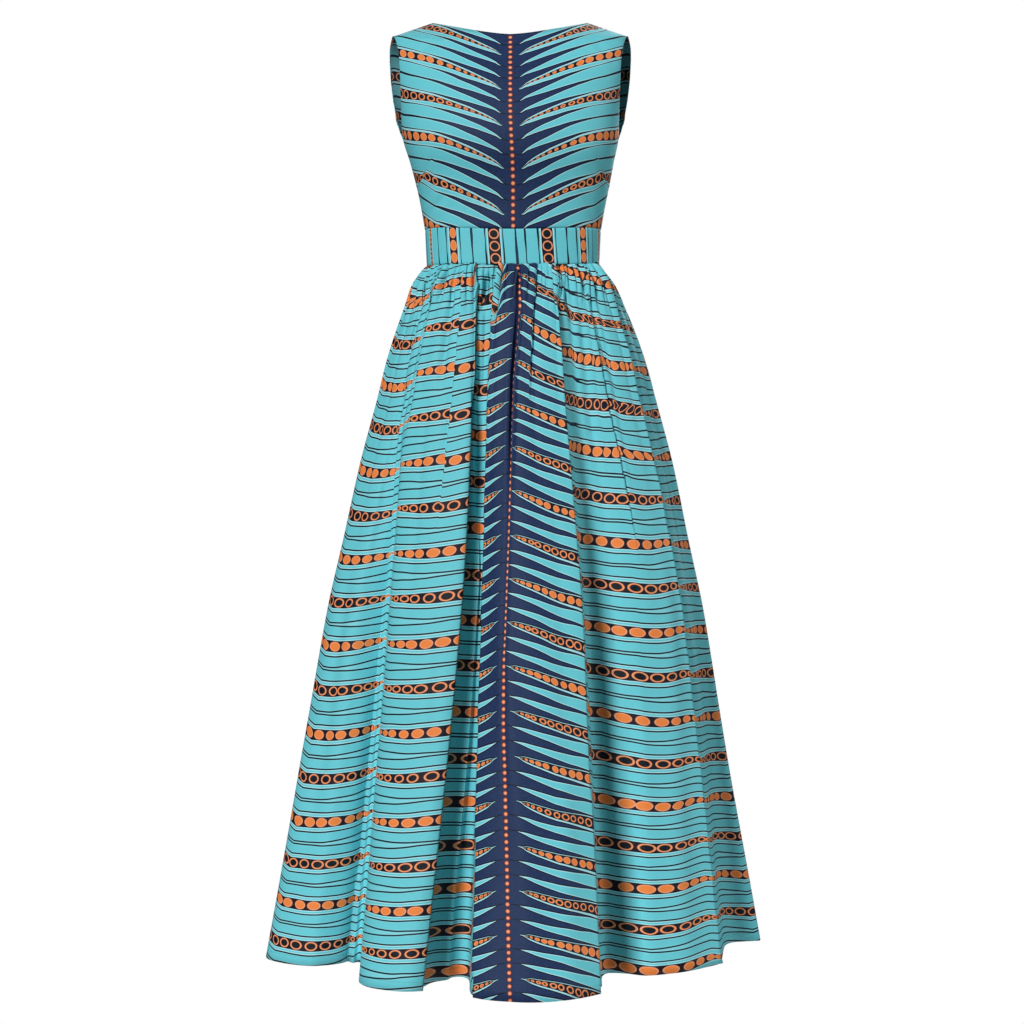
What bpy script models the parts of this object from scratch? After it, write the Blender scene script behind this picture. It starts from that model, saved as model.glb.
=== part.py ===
"""A sleeveless wax print dress, filled out as if worn: boat neck bodice with bust darts, inset
waistband, long gathered skirt and a concealed zip at the centre back. Metres, +Z up, front at -Y.
The origin is where the wearer's shoulders carry the dress, midway between them."""

import math

import bmesh
import bpy
from mathutils import Vector

# Cloth
WALL = 0.0015
SEAM_GAP = 0.0003

# Heights, from the origin
NECK_POINT_Z = 0.010
SHOULDER_TIP_Z = -0.011
NECK_FRONT_Z = -0.0223
NECK_BACK_Z = -0.002
HEM_Z = -1.426
BAND_TOP_SIDE_Z = -0.314
BAND_BOTTOM_SIDE_Z = -0.3705
BAND_TOP_DIP = (-0.0095, 0.0084)  # front, back
BAND_BOTTOM_DIP = (-0.0066, 0.0058)

# The bodice hangs a little to the wearer's right, more so towards the shoulders
LEAN_X = -0.0042
LEAN_FROM_Z = -0.260
LEAN_FULL_Z = -0.140

# Neck and shoulders
NECK_POINT_X = 0.1200
SHOULDER_TIP_X = 0.1810
SHOULDER_Y = 0.003
NECK_FRONT_Y = -0.062
NECK_BACK_Y = 0.056
NECK_CURVE_Y = 2.2
NECK_CURVE_Z = 1.65

# Bodice columns from the centre to the side; the neck point falls on one of them
HALF_COLUMNS = 13
NECK_COLUMN = 6

# Bodice sections from the waist up: height at the side and at the centre, half width, where the
# side or armhole edge lies in Y, where the centre lies in Y, and how square the section is.
FRONT_SECTIONS = (
    # edge_z, centre_z, half_width, edge_y, centre_y, squareness
    (-0.3140, -0.3235, 0.1356, 0.000, -0.1000, 2.35),
    (-0.2750, -0.2810, 0.1425, 0.000, -0.1045, 2.40),
    (-0.2400, -0.2440, 0.1500, 0.000, -0.1130, 2.45),
    (-0.2050, -0.2100, 0.1580, 0.000, -0.1240, 2.50),
    (-0.1740, -0.1800, 0.1660, 0.000, -0.1275, 2.45),
    (-0.1500, -0.1560, 0.1672, -0.020, -0.1250, 2.40),
    (-0.1180, -0.1280, 0.1677, -0.034, -0.1180, 2.30),
    (-0.0850, -0.1000, 0.1686, -0.040, -0.1080, 2.20),
    (-0.0512, -0.0720, 0.1706, -0.036, -0.0930, 2.10),
    (-0.0240, -0.0450, 0.1760, -0.018, -0.0770, 2.00),
    (-0.0145, -0.0330, 0.1795, -0.006, -0.0695, 1.90),
)
BACK_SECTIONS = (
    # edge_z, centre_z, half_width, edge_y, centre_y, squareness
    (-0.3140, -0.3056, 0.1356, 0.000, 0.0880, 2.35),
    (-0.2750, -0.2680, 0.1425, 0.000, 0.0920, 2.40),
    (-0.2400, -0.2360, 0.1500, 0.000, 0.0990, 2.45),
    (-0.2050, -0.2030, 0.1580, 0.000, 0.1070, 2.45),
    (-0.1740, -0.1730, 0.1660, 0.000, 0.1115, 2.45),
    (-0.1500, -0.1480, 0.1745, 0.022, 0.1125, 2.40),
    (-0.1180, -0.1170, 0.1815, 0.038, 0.1100, 2.35),
    (-0.0850, -0.0860, 0.1865, 0.045, 0.1050, 2.30),
    (-0.0512, -0.0560, 0.1890, 0.041, 0.0950, 2.20),
    (-0.0240, -0.0300, 0.1880, 0.024, 0.0790, 2.05),
    (-0.0140, -0.0140, 0.1845, 0.009, 0.0670, 1.90),
)
UNDERARM_ROW = 4

# Waistband
BAND_TOP_HALF = 0.1356
BAND_BOTTOM_HALF = 0.1330
BAND_FRONT_Y = (-0.1000, -0.0985)
BAND_BACK_Y = (0.0880, 0.0875)
BAND_SQUARENESS = 2.35

# Skirt: the folds' edges round the body, from the left side seam along the front and back again.
# turn is the angle on the waist seam from the centre front, and the rest is where the fold's edge
# passes the thigh ring, the knee ring and the hem.
THIGH_Z = -0.580
KNEE_Z = -0.890
FOLDS = (
    # turn, thigh_x, thigh_y, knee_x, knee_y, hem_x, hem_y
    (-90.0, -0.2105, 0.0050, -0.2820, 0.0100, -0.3715, 0.0100),
    (-80.0, -0.2070, -0.0200, -0.2800, -0.0300, -0.3700, -0.0720),
    (-66.0, -0.1770, -0.0580, -0.2380, -0.0740, -0.3029, -0.1186),
    (-54.0, -0.1570, -0.0790, -0.1850, -0.0780, -0.2290, -0.0920),
    (-46.0, -0.1500, -0.0990, -0.1795, -0.1460, -0.2195, -0.2280),
    (-36.0, -0.1087, -0.1280, -0.1284, -0.1890, -0.1776, -0.2740),
    (-24.0, -0.0640, -0.1370, -0.0800, -0.1930, -0.1350, -0.2720),
    (-17.0, -0.0515, -0.1190, -0.0640, -0.1500, -0.1080, -0.1980),
    (-11.0, -0.0380, -0.1230, -0.0450, -0.1540, -0.0670, -0.1980),
    (-6.0, -0.0310, -0.1460, -0.0400, -0.2030, -0.0555, -0.3090),
    (3.0, -0.0022, -0.1610, -0.0080, -0.2370, 0.0000, -0.3430),
    (15.0, 0.0398, -0.1590, 0.0480, -0.2350, 0.0600, -0.3380),
    (26.0, 0.0755, -0.1420, 0.0985, -0.2050, 0.1210, -0.2860),
    (33.0, 0.0926, -0.1160, 0.1120, -0.1410, 0.1350, -0.1700),
    (50.0, 0.1459, -0.0980, 0.1884, -0.1400, 0.2023, -0.1810),
    (68.0, 0.1935, -0.0580, 0.2534, -0.0830, 0.3044, -0.1050),
    (79.0, 0.2120, -0.0100, 0.2790, -0.0050, 0.3350, 0.0360),
    (90.0, 0.2231, 0.0100, 0.2950, 0.0300, 0.3920, 0.0660),
    (97.0, 0.2150, 0.045, 0.2780, 0.078, 0.3500, 0.118),
    (106.0, 0.1980, 0.068, 0.2500, 0.105, 0.3080, 0.160),
    (118.0, 0.1850, 0.092, 0.2400, 0.150, 0.3050, 0.238),
    (131.0, 0.1550, 0.114, 0.1980, 0.174, 0.2450, 0.275),
    (142.0, 0.1250, 0.120, 0.1600, 0.156, 0.1980, 0.208),
    (152.0, 0.0900, 0.131, 0.1150, 0.166, 0.1400, 0.212),
    (162.0, 0.0660, 0.148, 0.0880, 0.211, 0.1080, 0.303),
    (180.0, 0.0000, 0.161, 0.0000, 0.238, 0.0000, 0.337),
    (198.0, -0.0620, 0.149, -0.0850, 0.210, -0.1060, 0.296),
    (208.0, -0.0830, 0.133, -0.1060, 0.166, -0.1300, 0.213),
    (219.0, -0.1150, 0.122, -0.1480, 0.158, -0.1850, 0.207),
    (229.0, -0.1420, 0.121, -0.1790, 0.181, -0.2200, 0.283),
    (241.0, -0.1740, 0.098, -0.2250, 0.152, -0.2900, 0.244),
    (251.0, -0.1900, 0.078, -0.2460, 0.115, -0.3080, 0.170),
    (260.0, -0.2020, 0.0450, -0.2630, 0.0750, -0.3330, 0.1080),
    (270.0, -0.2105, 0.0050, -0.2820, 0.0100, -0.3715, 0.0100),
)

# Skirt rows from the waist seam down: height, the two rings between which the row lies (0 waist,
# 1 thigh, 2 knee, 3 hem), its share of the way, and how deep the gathers are.
SKIRT_ROWS = (
    # z, upper_ring, share, gather_depth
    (-0.3705, 0, 0.00, 0.0016),
    (-0.3820, 0, 0.09, 0.0045),
    (-0.3940, 0, 0.185, 0.0065),
    (-0.4110, 0, 0.295, 0.0080),
    (-0.4370, 0, 0.44, 0.0085),
    (-0.4720, 0, 0.605, 0.0075),
    (-0.5200, 0, 0.80, 0.0058),
    (-0.5800, 1, 0.00, 0.0040),
    (-0.6800, 1, 0.37, 0.0022),
    (-0.7800, 1, 0.68, 0.0008),
    (-0.8900, 2, 0.00, 0.0),
    (-1.0700, 2, 0.34, 0.0),
    (-1.2500, 2, 0.675, 0.0),
    (-1.4260, 2, 1.00, 0.0),
)
GATHERS = 38
SKIRT_COLUMNS = 208
FLAT_BESIDE_ZIP = 6.0
GATHERS_START = 10.0

# Concealed zip at the centre back
ZIP_END_ROW = 6
ZIP_TAPE_HALF = 0.011
ZIP_TAPE_THICK = 0.001
ZIP_TAPE_TOP = 0.0098
ZIP_CLEAR = 0.0006
ZIP_PART = 0.0016
SLIDER_DROP = 0.0050
SLIDER_SIZE = (0.0050, 0.0020, 0.0080)
BRIDGE_SIZE = (0.0013, 0.0030)
BRIDGE_RISE = 0.0034
PIN_RADIUS = 0.0005
PIN_LENGTH = 0.0044
PIN_RISE = 0.0028
PULL_HEAD_THICK = 0.0026
PULL_TIP_THICK = 0.0010
PULL_LENGTH = 0.0200
PULL_HEAD = 0.0042
PULL_TIP = 0.0056
PULL_SLOT = 0.0021
PULL_HOLE_RADIUS = 0.0007

CLOTH_COLOUR = (0.130, 0.450, 0.520, 1.0)
TAPE_COLOUR = (0.020, 0.130, 0.160, 1.0)
METAL_COLOUR = (0.050, 0.200, 0.230, 1.0)


def material(name, colour, roughness, metallic):
    made = bpy.data.materials.new(name)
    made.use_nodes = True
    shader = made.node_tree.nodes["Principled BSDF"]
    shader.inputs["Base Color"].default_value = colour
    shader.inputs["Roughness"].default_value = roughness
    shader.inputs["Metallic"].default_value = metallic
    return made


def section_y(x, half_width, edge_y, centre_y, squareness):
    """Y of a rounded section at x: centre_y at x = 0, edge_y at x = half_width."""
    edge_share = 1.0 - abs(edge_y / centre_y) ** squareness
    share = edge_share * (abs(x) / half_width) ** squareness
    return centre_y * max(0.0, 1.0 - share) ** (1.0 / squareness)


def lean(z):
    share = (z - LEAN_FROM_Z) / (LEAN_FULL_Z - LEAN_FROM_Z)
    share = min(1.0, max(0.0, share))
    return LEAN_X * share * share * (3.0 - 2.0 * share)


def column_share(column):
    """How far a bodice column lies from the centre, 0 to 1; the columns crowd at the side."""
    step = math.asin(NECK_POINT_X / SHOULDER_TIP_X) / NECK_COLUMN
    return 1.0 if abs(column) == HALF_COLUMNS else abs(math.sin(column * step))


def bodice_point(section, column):
    edge_z, centre_z, half_width, edge_y, centre_y, squareness = section
    share = column_share(column)
    x = math.copysign(half_width * share, column)
    y = section_y(x, half_width, edge_y, centre_y, squareness)
    if share == 1.0:
        y = edge_y
    z = edge_z + (centre_z - edge_z) * (1.0 - share * share)
    return Vector((x, y, z))


def top_point(column, centre_y, centre_z):
    """The neckline, then the shoulder seam that front and back share."""
    x = SHOULDER_TIP_X * column_share(column)
    if abs(column) <= NECK_COLUMN:
        way = x / NECK_POINT_X
        y = centre_y + (SHOULDER_Y - centre_y) * way**NECK_CURVE_Y
        z = centre_z + (NECK_POINT_Z - centre_z) * way**NECK_CURVE_Z
    else:
        way = (x - NECK_POINT_X) / (SHOULDER_TIP_X - NECK_POINT_X)
        y = SHOULDER_Y
        z = NECK_POINT_Z + (SHOULDER_TIP_Z - NECK_POINT_Z) * way
    return Vector((math.copysign(x, column), y, z))


def bodice_rows(sections, columns, centre_y, centre_z):
    rows = [[bodice_point(section, column) for column in columns] for section in sections]
    rows.append([top_point(column, centre_y, centre_z) for column in columns])
    return rows


def band_point(column, share, back):
    """A point of the waistband; share runs from 0 at its top to 1 at its bottom."""
    half = BAND_TOP_HALF + (BAND_BOTTOM_HALF - BAND_TOP_HALF) * share
    centre = BAND_BACK_Y if back else BAND_FRONT_Y
    centre_y = centre[0] + (centre[1] - centre[0]) * share
    x = math.copysign(half * column_share(column), column)
    y = section_y(x, half, 0.0, centre_y, BAND_SQUARENESS)
    if abs(column) == HALF_COLUMNS:
        y = 0.0
    top = BAND_TOP_SIDE_Z + seam_dip(x, BAND_TOP_HALF, BAND_TOP_DIP[back])
    bottom = BAND_BOTTOM_SIDE_Z + seam_dip(x, BAND_BOTTOM_HALF, BAND_BOTTOM_DIP[back])
    level = BAND_TOP_SIDE_Z + (BAND_BOTTOM_SIDE_Z - BAND_TOP_SIDE_Z) * share
    dips = (top - BAND_TOP_SIDE_Z, bottom - BAND_BOTTOM_SIDE_Z)
    return Vector((x, y, level + dips[0] + (dips[1] - dips[0]) * share))


def seam_dip(x, half_width, dip):
    """How far a waist seam lies off its height at the side: it dips at the front."""
    return dip * (1.0 - min(1.0, abs(x) / half_width) ** 2)


def spline(before, start, end, after, way):
    """Catmull-Rom between start and end."""
    return 0.5 * (
        2.0 * start
        + (end - before) * way
        + (2.0 * before - 5.0 * start + 4.0 * end - after) * way**2
        + (3.0 * start - before - 3.0 * end + after) * way**3
    )


def fold_lengths():
    """Where each fold edge lies along the cloth: half its share of the hem, half of the waist."""
    places = [0.0]
    hem = [Vector(fold[5:7]) for fold in FOLDS]
    whole = sum((b - a).length for a, b in zip(hem, hem[1:]))
    for k in range(1, len(FOLDS)):
        hem_share = (hem[k] - hem[k - 1]).length / whole
        turn_share = (FOLDS[k][0] - FOLDS[k - 1][0]) / 360.0
        places.append(places[-1] + 0.5 * hem_share + 0.5 * turn_share)
    return places


def fold_value(place, places, entry):
    """One column of FOLDS read at a place from 0 to 1 round the skirt, smooth through the rows."""
    count = len(FOLDS) - 1
    k = max(i for i in range(count) if places[i] <= place + 1e-9)
    way = (place - places[k]) / (places[k + 1] - places[k])

    def value(i):
        lap = 360.0 if entry == 0 else 0.0
        return FOLDS[i % count][entry] + lap * (i // count)

    return spline(value(k - 1), value(k), value(k + 1), value(k + 2), way)


def skirt_ring(place, places, ring):
    """Where a place on the cloth passes the waist, thigh, knee or hem ring."""
    if ring:
        x = fold_value(place, places, 2 * ring - 1)
        return Vector((x, fold_value(place, places, 2 * ring)))
    turn = math.radians(fold_value(place, places, 0))
    back = math.cos(turn) < 0.0
    centre_y = BAND_BACK_Y[1] if back else BAND_FRONT_Y[1]
    power = 2.0 / BAND_SQUARENESS
    x = math.copysign(abs(math.sin(turn)) ** power, math.sin(turn)) * BAND_BOTTOM_HALF
    return Vector((x, abs(math.cos(turn)) ** power * centre_y))


def gather_wave(place, places, row):
    """How far a gather lifts the cloth: uneven in width, depth and length, flat beside the zip."""
    turn = fold_value(place, places, 0)
    beside_zip = min(max(abs(turn - 180.0) - FLAT_BESIDE_ZIP, 0.0) / GATHERS_START, 1.0)
    phase = math.radians(turn) * GATHERS + 0.9 * math.sin(math.radians(turn) * 5.0 + 0.6)
    number = round(phase / math.tau)
    uneven = 0.78 + 0.22 * math.sin(number * 2.4 + 1.0)
    fading = 1.0 + 0.5 * math.sin(number * 1.7) * min(row / 7.0, 1.0)
    return SKIRT_ROWS[row][3] * math.cos(phase) * uneven * fading * beside_zip


def skirt_rows():
    """Rows of points all round; the first column and the last are the left side seam."""
    places = fold_lengths()
    columns = [k / SKIRT_COLUMNS for k in range(SKIRT_COLUMNS + 1)]
    for seam in (places[17], places[25]):
        nearest = min(range(len(columns)), key=lambda k: abs(columns[k] - seam))
        columns[nearest] = seam
    rows = []
    flat_waist = [skirt_ring(place, places, 0) for place in columns]
    for number, (z, ring, share, _) in enumerate(SKIRT_ROWS):
        lower = min(ring + 1, 3)
        flat = [
            skirt_ring(place, places, ring).lerp(skirt_ring(place, places, lower), share)
            for place in columns
        ]
        row = []
        for k, point in enumerate(flat):
            before = flat[k - 1 if k else -2]
            after = flat[k + 1 if k < SKIRT_COLUMNS else 1]
            along = (after - before).normalized()
            out = Vector((along.y, -along.x))
            moved = point + out * gather_wave(columns[k], places, number)
            dip = seam_dip(flat_waist[k].x, BAND_BOTTOM_HALF, BAND_BOTTOM_DIP[point.y > 0.0])
            row.append(Vector((moved.x, moved.y, z + dip * max(0.0, 1.0 - number / 7.0))))
        row[-1] = row[0].copy()
        rows.append(row)
    return rows, columns.index(places[17]), columns.index(places[25])


def grid_normals(rows):
    """Outward normals of a grid of points whose rows are in order of height or of depth."""
    last_row, last_column = len(rows) - 1, len(rows[0]) - 1
    found = []
    for i in range(last_row + 1):
        line = []
        for j in range(last_column + 1):
            along = rows[i][min(j + 1, last_column)] - rows[i][max(j - 1, 0)]
            across = rows[min(i + 1, last_row)][j] - rows[max(i - 1, 0)][j]
            line.append(along.cross(across).normalized())
        found.append(line)
    return found


def share_normals(panels):
    """Gives panels that meet along a seam the same normals there."""
    sums = {}
    for rows, normals in panels:
        for points, line in zip(rows, normals):
            for point, normal in zip(points, line):
                key = tuple(round(value, 5) for value in point)
                sums[key] = sums.get(key, Vector()) + normal
    for rows, normals in panels:
        for points, line in zip(rows, normals):
            for j, point in enumerate(points):
                key = tuple(round(value, 5) for value in point)
                line[j] = sums[key].normalized()


def trim(points, towards, amount=SEAM_GAP / 2):
    """Moves a seam's points back from it, each towards its neighbour in the panel."""
    for point, inner in zip(points, towards):
        point += (inner - point).normalized() * amount


def column(rows, j):
    return [row[j] for row in rows]


def cloth_wall(name, rows, normals, look, collection):
    """A closed wall of cloth on both sides of a grid of points."""
    mesh = bpy.data.meshes.new(name)
    shell = bmesh.new()
    sides = []
    for lift in (0.5, -0.5):
        sides.append(
            [
                [shell.verts.new(p + n * WALL * lift) for p, n in zip(points, line)]
                for points, line in zip(rows, normals)
            ]
        )
    outer, inner = sides
    last_row, last_column = len(rows) - 1, len(rows[0]) - 1
    for i in range(last_row):
        for j in range(last_column):
            cell = ((i, j), (i, j + 1), (i + 1, j + 1), (i + 1, j))
            shell.faces.new([outer[a][b] for a, b in cell])
            shell.faces.new([inner[a][b] for a, b in reversed(cell)])
    rim = [(0, j) for j in range(last_column)]
    rim += [(i, last_column) for i in range(last_row)]
    rim += [(last_row, j) for j in range(last_column, 0, -1)]
    rim += [(i, 0) for i in range(last_row, 0, -1)]
    for (i, j), (k, m) in zip(rim, rim[1:] + rim[:1]):
        shell.faces.new((outer[k][m], outer[i][j], inner[i][j], inner[k][m]))
    first = shell.faces[:][0]
    first.normal_update()
    if first.normal.dot(normals[0][0]) < 0.0:
        bmesh.ops.reverse_faces(shell, faces=shell.faces)
    shell.to_mesh(mesh)
    shell.free()
    mesh.shade_smooth()
    mesh.set_sharp_from_angle(angle=math.radians(50))
    mesh.materials.append(look)
    obj = bpy.data.objects.new(name, mesh)
    collection.objects.link(obj)
    return obj


def make_bodice_and_band(looks, collection):
    """Front in one piece, back in two; the waistband is cut the same way."""
    whole = list(range(-HALF_COLUMNS, HALF_COLUMNS + 1))
    right = list(range(0, HALF_COLUMNS + 1))
    shares = (0.0, 0.5, 1.0)
    front = bodice_rows(FRONT_SECTIONS, whole, NECK_FRONT_Y, NECK_FRONT_Z)
    back = bodice_rows(BACK_SECTIONS, right, NECK_BACK_Y, NECK_BACK_Z)
    band_front = [[band_point(c, s, False) for c in whole] for s in shares]
    band_back = [[band_point(c, s, True) for c in right] for s in shares]
    mirrored = [
        [[Vector((-p.x, p.y, p.z)) for p in points] for points in rows]
        for rows in (back, band_back)
    ]
    panels = {
        "bodice_front": front,
        "bodice_back_right": back,
        "bodice_back_left": mirrored[0],
        "waistband_front": band_front,
        "waistband_back_right": band_back,
        "waistband_back_left": mirrored[1],
    }
    normals = {}
    for name, rows in panels.items():
        normals[name] = grid_normals(rows)
        middle = rows[1][len(rows[1]) // 2]
        facing = normals[name][1][len(rows[1]) // 2]
        if facing.x * middle.x + facing.y * middle.y < 0.0:
            normals[name] = [[-n for n in line] for line in normals[name]]
    for name in ("bodice_front", "bodice_back_right", "bodice_back_left"):
        for point in (point for points in panels[name] for point in points):
            point.x += lean(point.z)
    share_normals([(panels[name], normals[name]) for name in panels])

    for name, rows in panels.items():
        is_band = name.startswith("waistband")
        ends = rows if is_band else rows[: UNDERARM_ROW + 1]
        trim(column(ends, -1), column(ends, -2))
        if name.endswith("front"):
            trim(column(ends, 0), column(ends, 1))
        else:
            trim(column(rows, 0), column(rows, 1))
        trim(rows[0], rows[1])
        if is_band:
            trim(rows[-1], rows[-2])
        elif name.endswith("front"):
            shoulder = slice(HALF_COLUMNS + NECK_COLUMN, None)
            trim(rows[-1][shoulder], rows[-2][shoulder])
            shoulder = slice(0, HALF_COLUMNS - NECK_COLUMN + 1)
            trim(rows[-1][shoulder], rows[-2][shoulder])
        else:
            trim(rows[-1][NECK_COLUMN:], rows[-2][NECK_COLUMN:])
            rows[-1][0].x = lean(rows[-1][0].z) + math.copysign(ZIP_PART, rows[-1][1].x)
        cloth_wall(name, rows, normals[name], looks["cloth"], collection)
    return column(back, 0), column(band_back, 0)


def make_skirt(looks, collection):
    rows, right_seam, back_seam = skirt_rows()
    normals = grid_normals(rows)
    for line in normals:
        mean = (line[0] + line[-1]).normalized()
        line[0], line[-1] = mean, mean.copy()
    if normals[-1][0].x > 0.0:
        normals = [[-normal for normal in line] for line in normals]
    for j, normal in enumerate(normals[0]):
        normals[0][j] = Vector((normal.x, normal.y, 0.0)).normalized()
    cuts = {
        "skirt_front": (0, right_seam),
        "skirt_back_right": (right_seam, back_seam),
        "skirt_back_left": (back_seam, SKIRT_COLUMNS),
    }
    for name, (start, end) in cuts.items():
        panel = [[point.copy() for point in row[start : end + 1]] for row in rows]
        facing = [line[start : end + 1] for line in normals]
        trim(column(panel, 0), column(panel, 1))
        trim(column(panel, -1), column(panel, -2))
        for point in panel[0]:
            point.z -= SEAM_GAP / 2
        cloth_wall(name, panel, facing, looks["cloth"], collection)
    return column(rows, back_seam)


def profile_at(profile, distance):
    """A point at a distance along the centre back line, and the line's direction there."""
    for a, b in zip(profile, profile[1:]):
        step = (b - a).length
        if distance <= step:
            return a.lerp(b, distance / step), (b - a).normalized()
        distance -= step
    return profile[-1].copy(), (profile[-1] - profile[-2]).normalized()


def make_zip_tape(profile, look, collection):
    """The closed tapes: a strip just inside the centre back seam, as long as the opening."""
    start, _ = profile_at(profile, ZIP_TAPE_TOP)
    line = [start] + [p for p in profile if p.z < start.z - 0.004]
    mesh = bpy.data.meshes.new("zip_tape")
    strip = bmesh.new()
    rings = []
    inward = -(ZIP_CLEAR + WALL / 2 + ZIP_TAPE_THICK / 2)
    for k, point in enumerate(line):
        along = line[min(k + 1, len(line) - 1)] - line[max(k - 1, 0)]
        out = Vector((0.0, -along.z, along.y)).normalized()
        centre = point + out * inward
        ring = []
        for x, lift in ((-1, -1), (1, -1), (1, 1), (-1, 1)):
            side = Vector((x * ZIP_TAPE_HALF, 0.0, 0.0))
            ring.append(strip.verts.new(centre + side + out * lift * ZIP_TAPE_THICK / 2))
        rings.append(ring)
    for a, b in zip(rings, rings[1:]):
        for k in range(4):
            n = (k + 1) % 4
            strip.faces.new((a[k], a[n], b[n], b[k]))
    strip.faces.new(rings[0])
    strip.faces.new(rings[-1])
    bmesh.ops.recalc_face_normals(strip, faces=strip.faces)
    strip.to_mesh(mesh)
    strip.free()
    mesh.materials.append(look)
    collection.objects.link(bpy.data.objects.new("zip_tape", mesh))


def block(name, size, centre, collection):
    bpy.ops.mesh.primitive_cube_add(size=1.0)
    obj = bpy.context.active_object
    obj.name = name
    for vertex in obj.data.vertices:
        vertex.co = Vector(a * b for a, b in zip(vertex.co, size)) + Vector(centre)
    move_to(obj, collection)
    return obj


def rod(name, radius, length, collection):
    """A cylinder along X through the origin of its object."""
    bpy.ops.mesh.primitive_cylinder_add(vertices=20, radius=radius, depth=length)
    obj = bpy.context.active_object
    obj.name = name
    for vertex in obj.data.vertices:
        x, y, z = vertex.co
        vertex.co = (z, y, -x)
    move_to(obj, collection)
    return obj


def move_to(obj, collection):
    for holder in list(obj.users_collection):
        holder.objects.unlink(obj)
    collection.objects.link(obj)


def boolean(obj, other, operation, cutters):
    modifier = obj.modifiers.new(operation.lower(), "BOOLEAN")
    modifier.operation = operation
    modifier.object = other
    move_to(other, cutters)
    other.hide_render = True
    other.display_type = "WIRE"


def make_slider_and_pull(profile, looks, collection, cutters):
    """Local frame at the pin: X across, Y out of the cloth, Z up along it."""
    seat, down = profile_at(profile, SLIDER_DROP)
    out = Vector((0.0, -down.z, down.y))
    pin = seat + out * PIN_RISE
    hinge = bpy.data.objects.new("pull_hinge", None)
    hinge.empty_display_size = 0.01
    hinge.location = pin
    hinge.rotation_euler = (math.atan2(out.z, out.y), 0.0, 0.0)
    collection.objects.link(hinge)

    body_y = -(PIN_RISE + WALL / 2 + ZIP_CLEAR + SLIDER_SIZE[1] / 2)
    slider = block("zip_slider", SLIDER_SIZE, (0.0, body_y, 0.0), collection)
    reach = BRIDGE_RISE - PIN_RISE
    bridge_size = (BRIDGE_SIZE[0], reach - body_y, BRIDGE_SIZE[1])
    bridge = block("bridge", bridge_size, (0.0, (reach + body_y) / 2, 0.0), collection)
    pin_rod = rod("pin", PIN_RADIUS, PIN_LENGTH, collection)
    boolean(slider, bridge, "UNION", cutters)
    boolean(slider, pin_rod, "UNION", cutters)

    size = (PULL_HEAD, PULL_HEAD_THICK, PULL_LENGTH)
    pull = block("zip_pull", size, (0.0, 0.0, 0.0), collection)
    for vertex in pull.data.vertices:
        if vertex.co.z < 0.0:
            vertex.co.x = math.copysign(PULL_TIP / 2, vertex.co.x)
            vertex.co.y = math.copysign(PULL_TIP_THICK / 2, vertex.co.y)
        vertex.co.z += 0.0014 - PULL_LENGTH / 2
    slot = block("slot", (PULL_SLOT, 0.004, 0.0060), (0.0, 0.0, 0.0), collection)
    boolean(pull, slot, "DIFFERENCE", cutters)
    boolean(pull, rod("pull_hole", PULL_HOLE_RADIUS, 0.008, collection), "DIFFERENCE", cutters)
    for obj, look in ((slider, "metal"), (pull, "metal")):
        obj.data.materials.append(looks[look])
    for obj in (slider, pull, *cutters.objects):
        obj.parent = hinge


def main():
    for obj in list(bpy.data.objects):
        bpy.data.objects.remove(obj, do_unlink=True)
    collection = bpy.data.collections.new("wax_print_dress")
    cutters = bpy.data.collections.new("cutters")
    cutters.hide_render = True
    bpy.context.scene.collection.children.link(collection)
    bpy.context.scene.collection.children.link(cutters)
    looks = {
        "cloth": material("wax_print_cotton", CLOTH_COLOUR, 0.55, 0.0),
        "tape": material("zip_tape", TAPE_COLOUR, 0.8, 0.0),
        "metal": material("painted_metal", METAL_COLOUR, 0.35, 0.6),
    }
    bodice_back, band_back = make_bodice_and_band(looks, collection)
    skirt_back = make_skirt(looks, collection)
    profile = [Vector((lean(p.z), p.y, p.z)) for p in reversed(bodice_back)]
    profile += [Vector((0.0, p.y, p.z)) for p in band_back[1:]]
    profile += [Vector((0.0, p.y, p.z)) for p in skirt_back[1 : ZIP_END_ROW + 1]]
    make_zip_tape(profile, looks["tape"], collection)
    make_slider_and_pull(profile, looks, collection, cutters)


main()
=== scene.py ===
"""Looks for the sleeveless wax print dress: thin cloth shells on the solids' form, a procedural wax
print drawn from the cloth's own width and length, sewing, and a studio. Metres, +Z up, front -Y."""

import math

import bpy
import numpy as np
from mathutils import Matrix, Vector


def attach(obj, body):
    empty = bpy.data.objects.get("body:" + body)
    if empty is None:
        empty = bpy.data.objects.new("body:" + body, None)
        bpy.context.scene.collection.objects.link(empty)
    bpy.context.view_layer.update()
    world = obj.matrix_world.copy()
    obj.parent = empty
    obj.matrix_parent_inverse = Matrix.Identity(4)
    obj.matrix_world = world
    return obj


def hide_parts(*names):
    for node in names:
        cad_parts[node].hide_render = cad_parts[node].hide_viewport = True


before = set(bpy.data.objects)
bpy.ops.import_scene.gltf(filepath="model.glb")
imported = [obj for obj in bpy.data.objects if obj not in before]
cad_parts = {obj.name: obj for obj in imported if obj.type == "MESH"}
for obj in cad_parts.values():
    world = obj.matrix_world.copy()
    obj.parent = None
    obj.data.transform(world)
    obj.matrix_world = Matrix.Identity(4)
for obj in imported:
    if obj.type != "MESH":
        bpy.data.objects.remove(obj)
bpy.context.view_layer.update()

# ---------------------------------------------------------------- the part's own sizes, as built
NECK_POINT_Z = 0.010
SHOULDER_TIP_Z = -0.011
NECK_FRONT_Z = -0.0223
NECK_BACK_Z = -0.002
HEM_Z = -1.426
BAND_TOP_SIDE_Z = -0.314
BAND_BOTTOM_SIDE_Z = -0.3705
BAND_TOP_DIP = (-0.0095, 0.0084)
BAND_BOTTOM_DIP = (-0.0066, 0.0058)
LEAN_X = -0.0042
LEAN_FROM_Z = -0.260
LEAN_FULL_Z = -0.140
NECK_POINT_X = 0.1200
SHOULDER_TIP_X = 0.1810
SHOULDER_Y = 0.003
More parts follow.
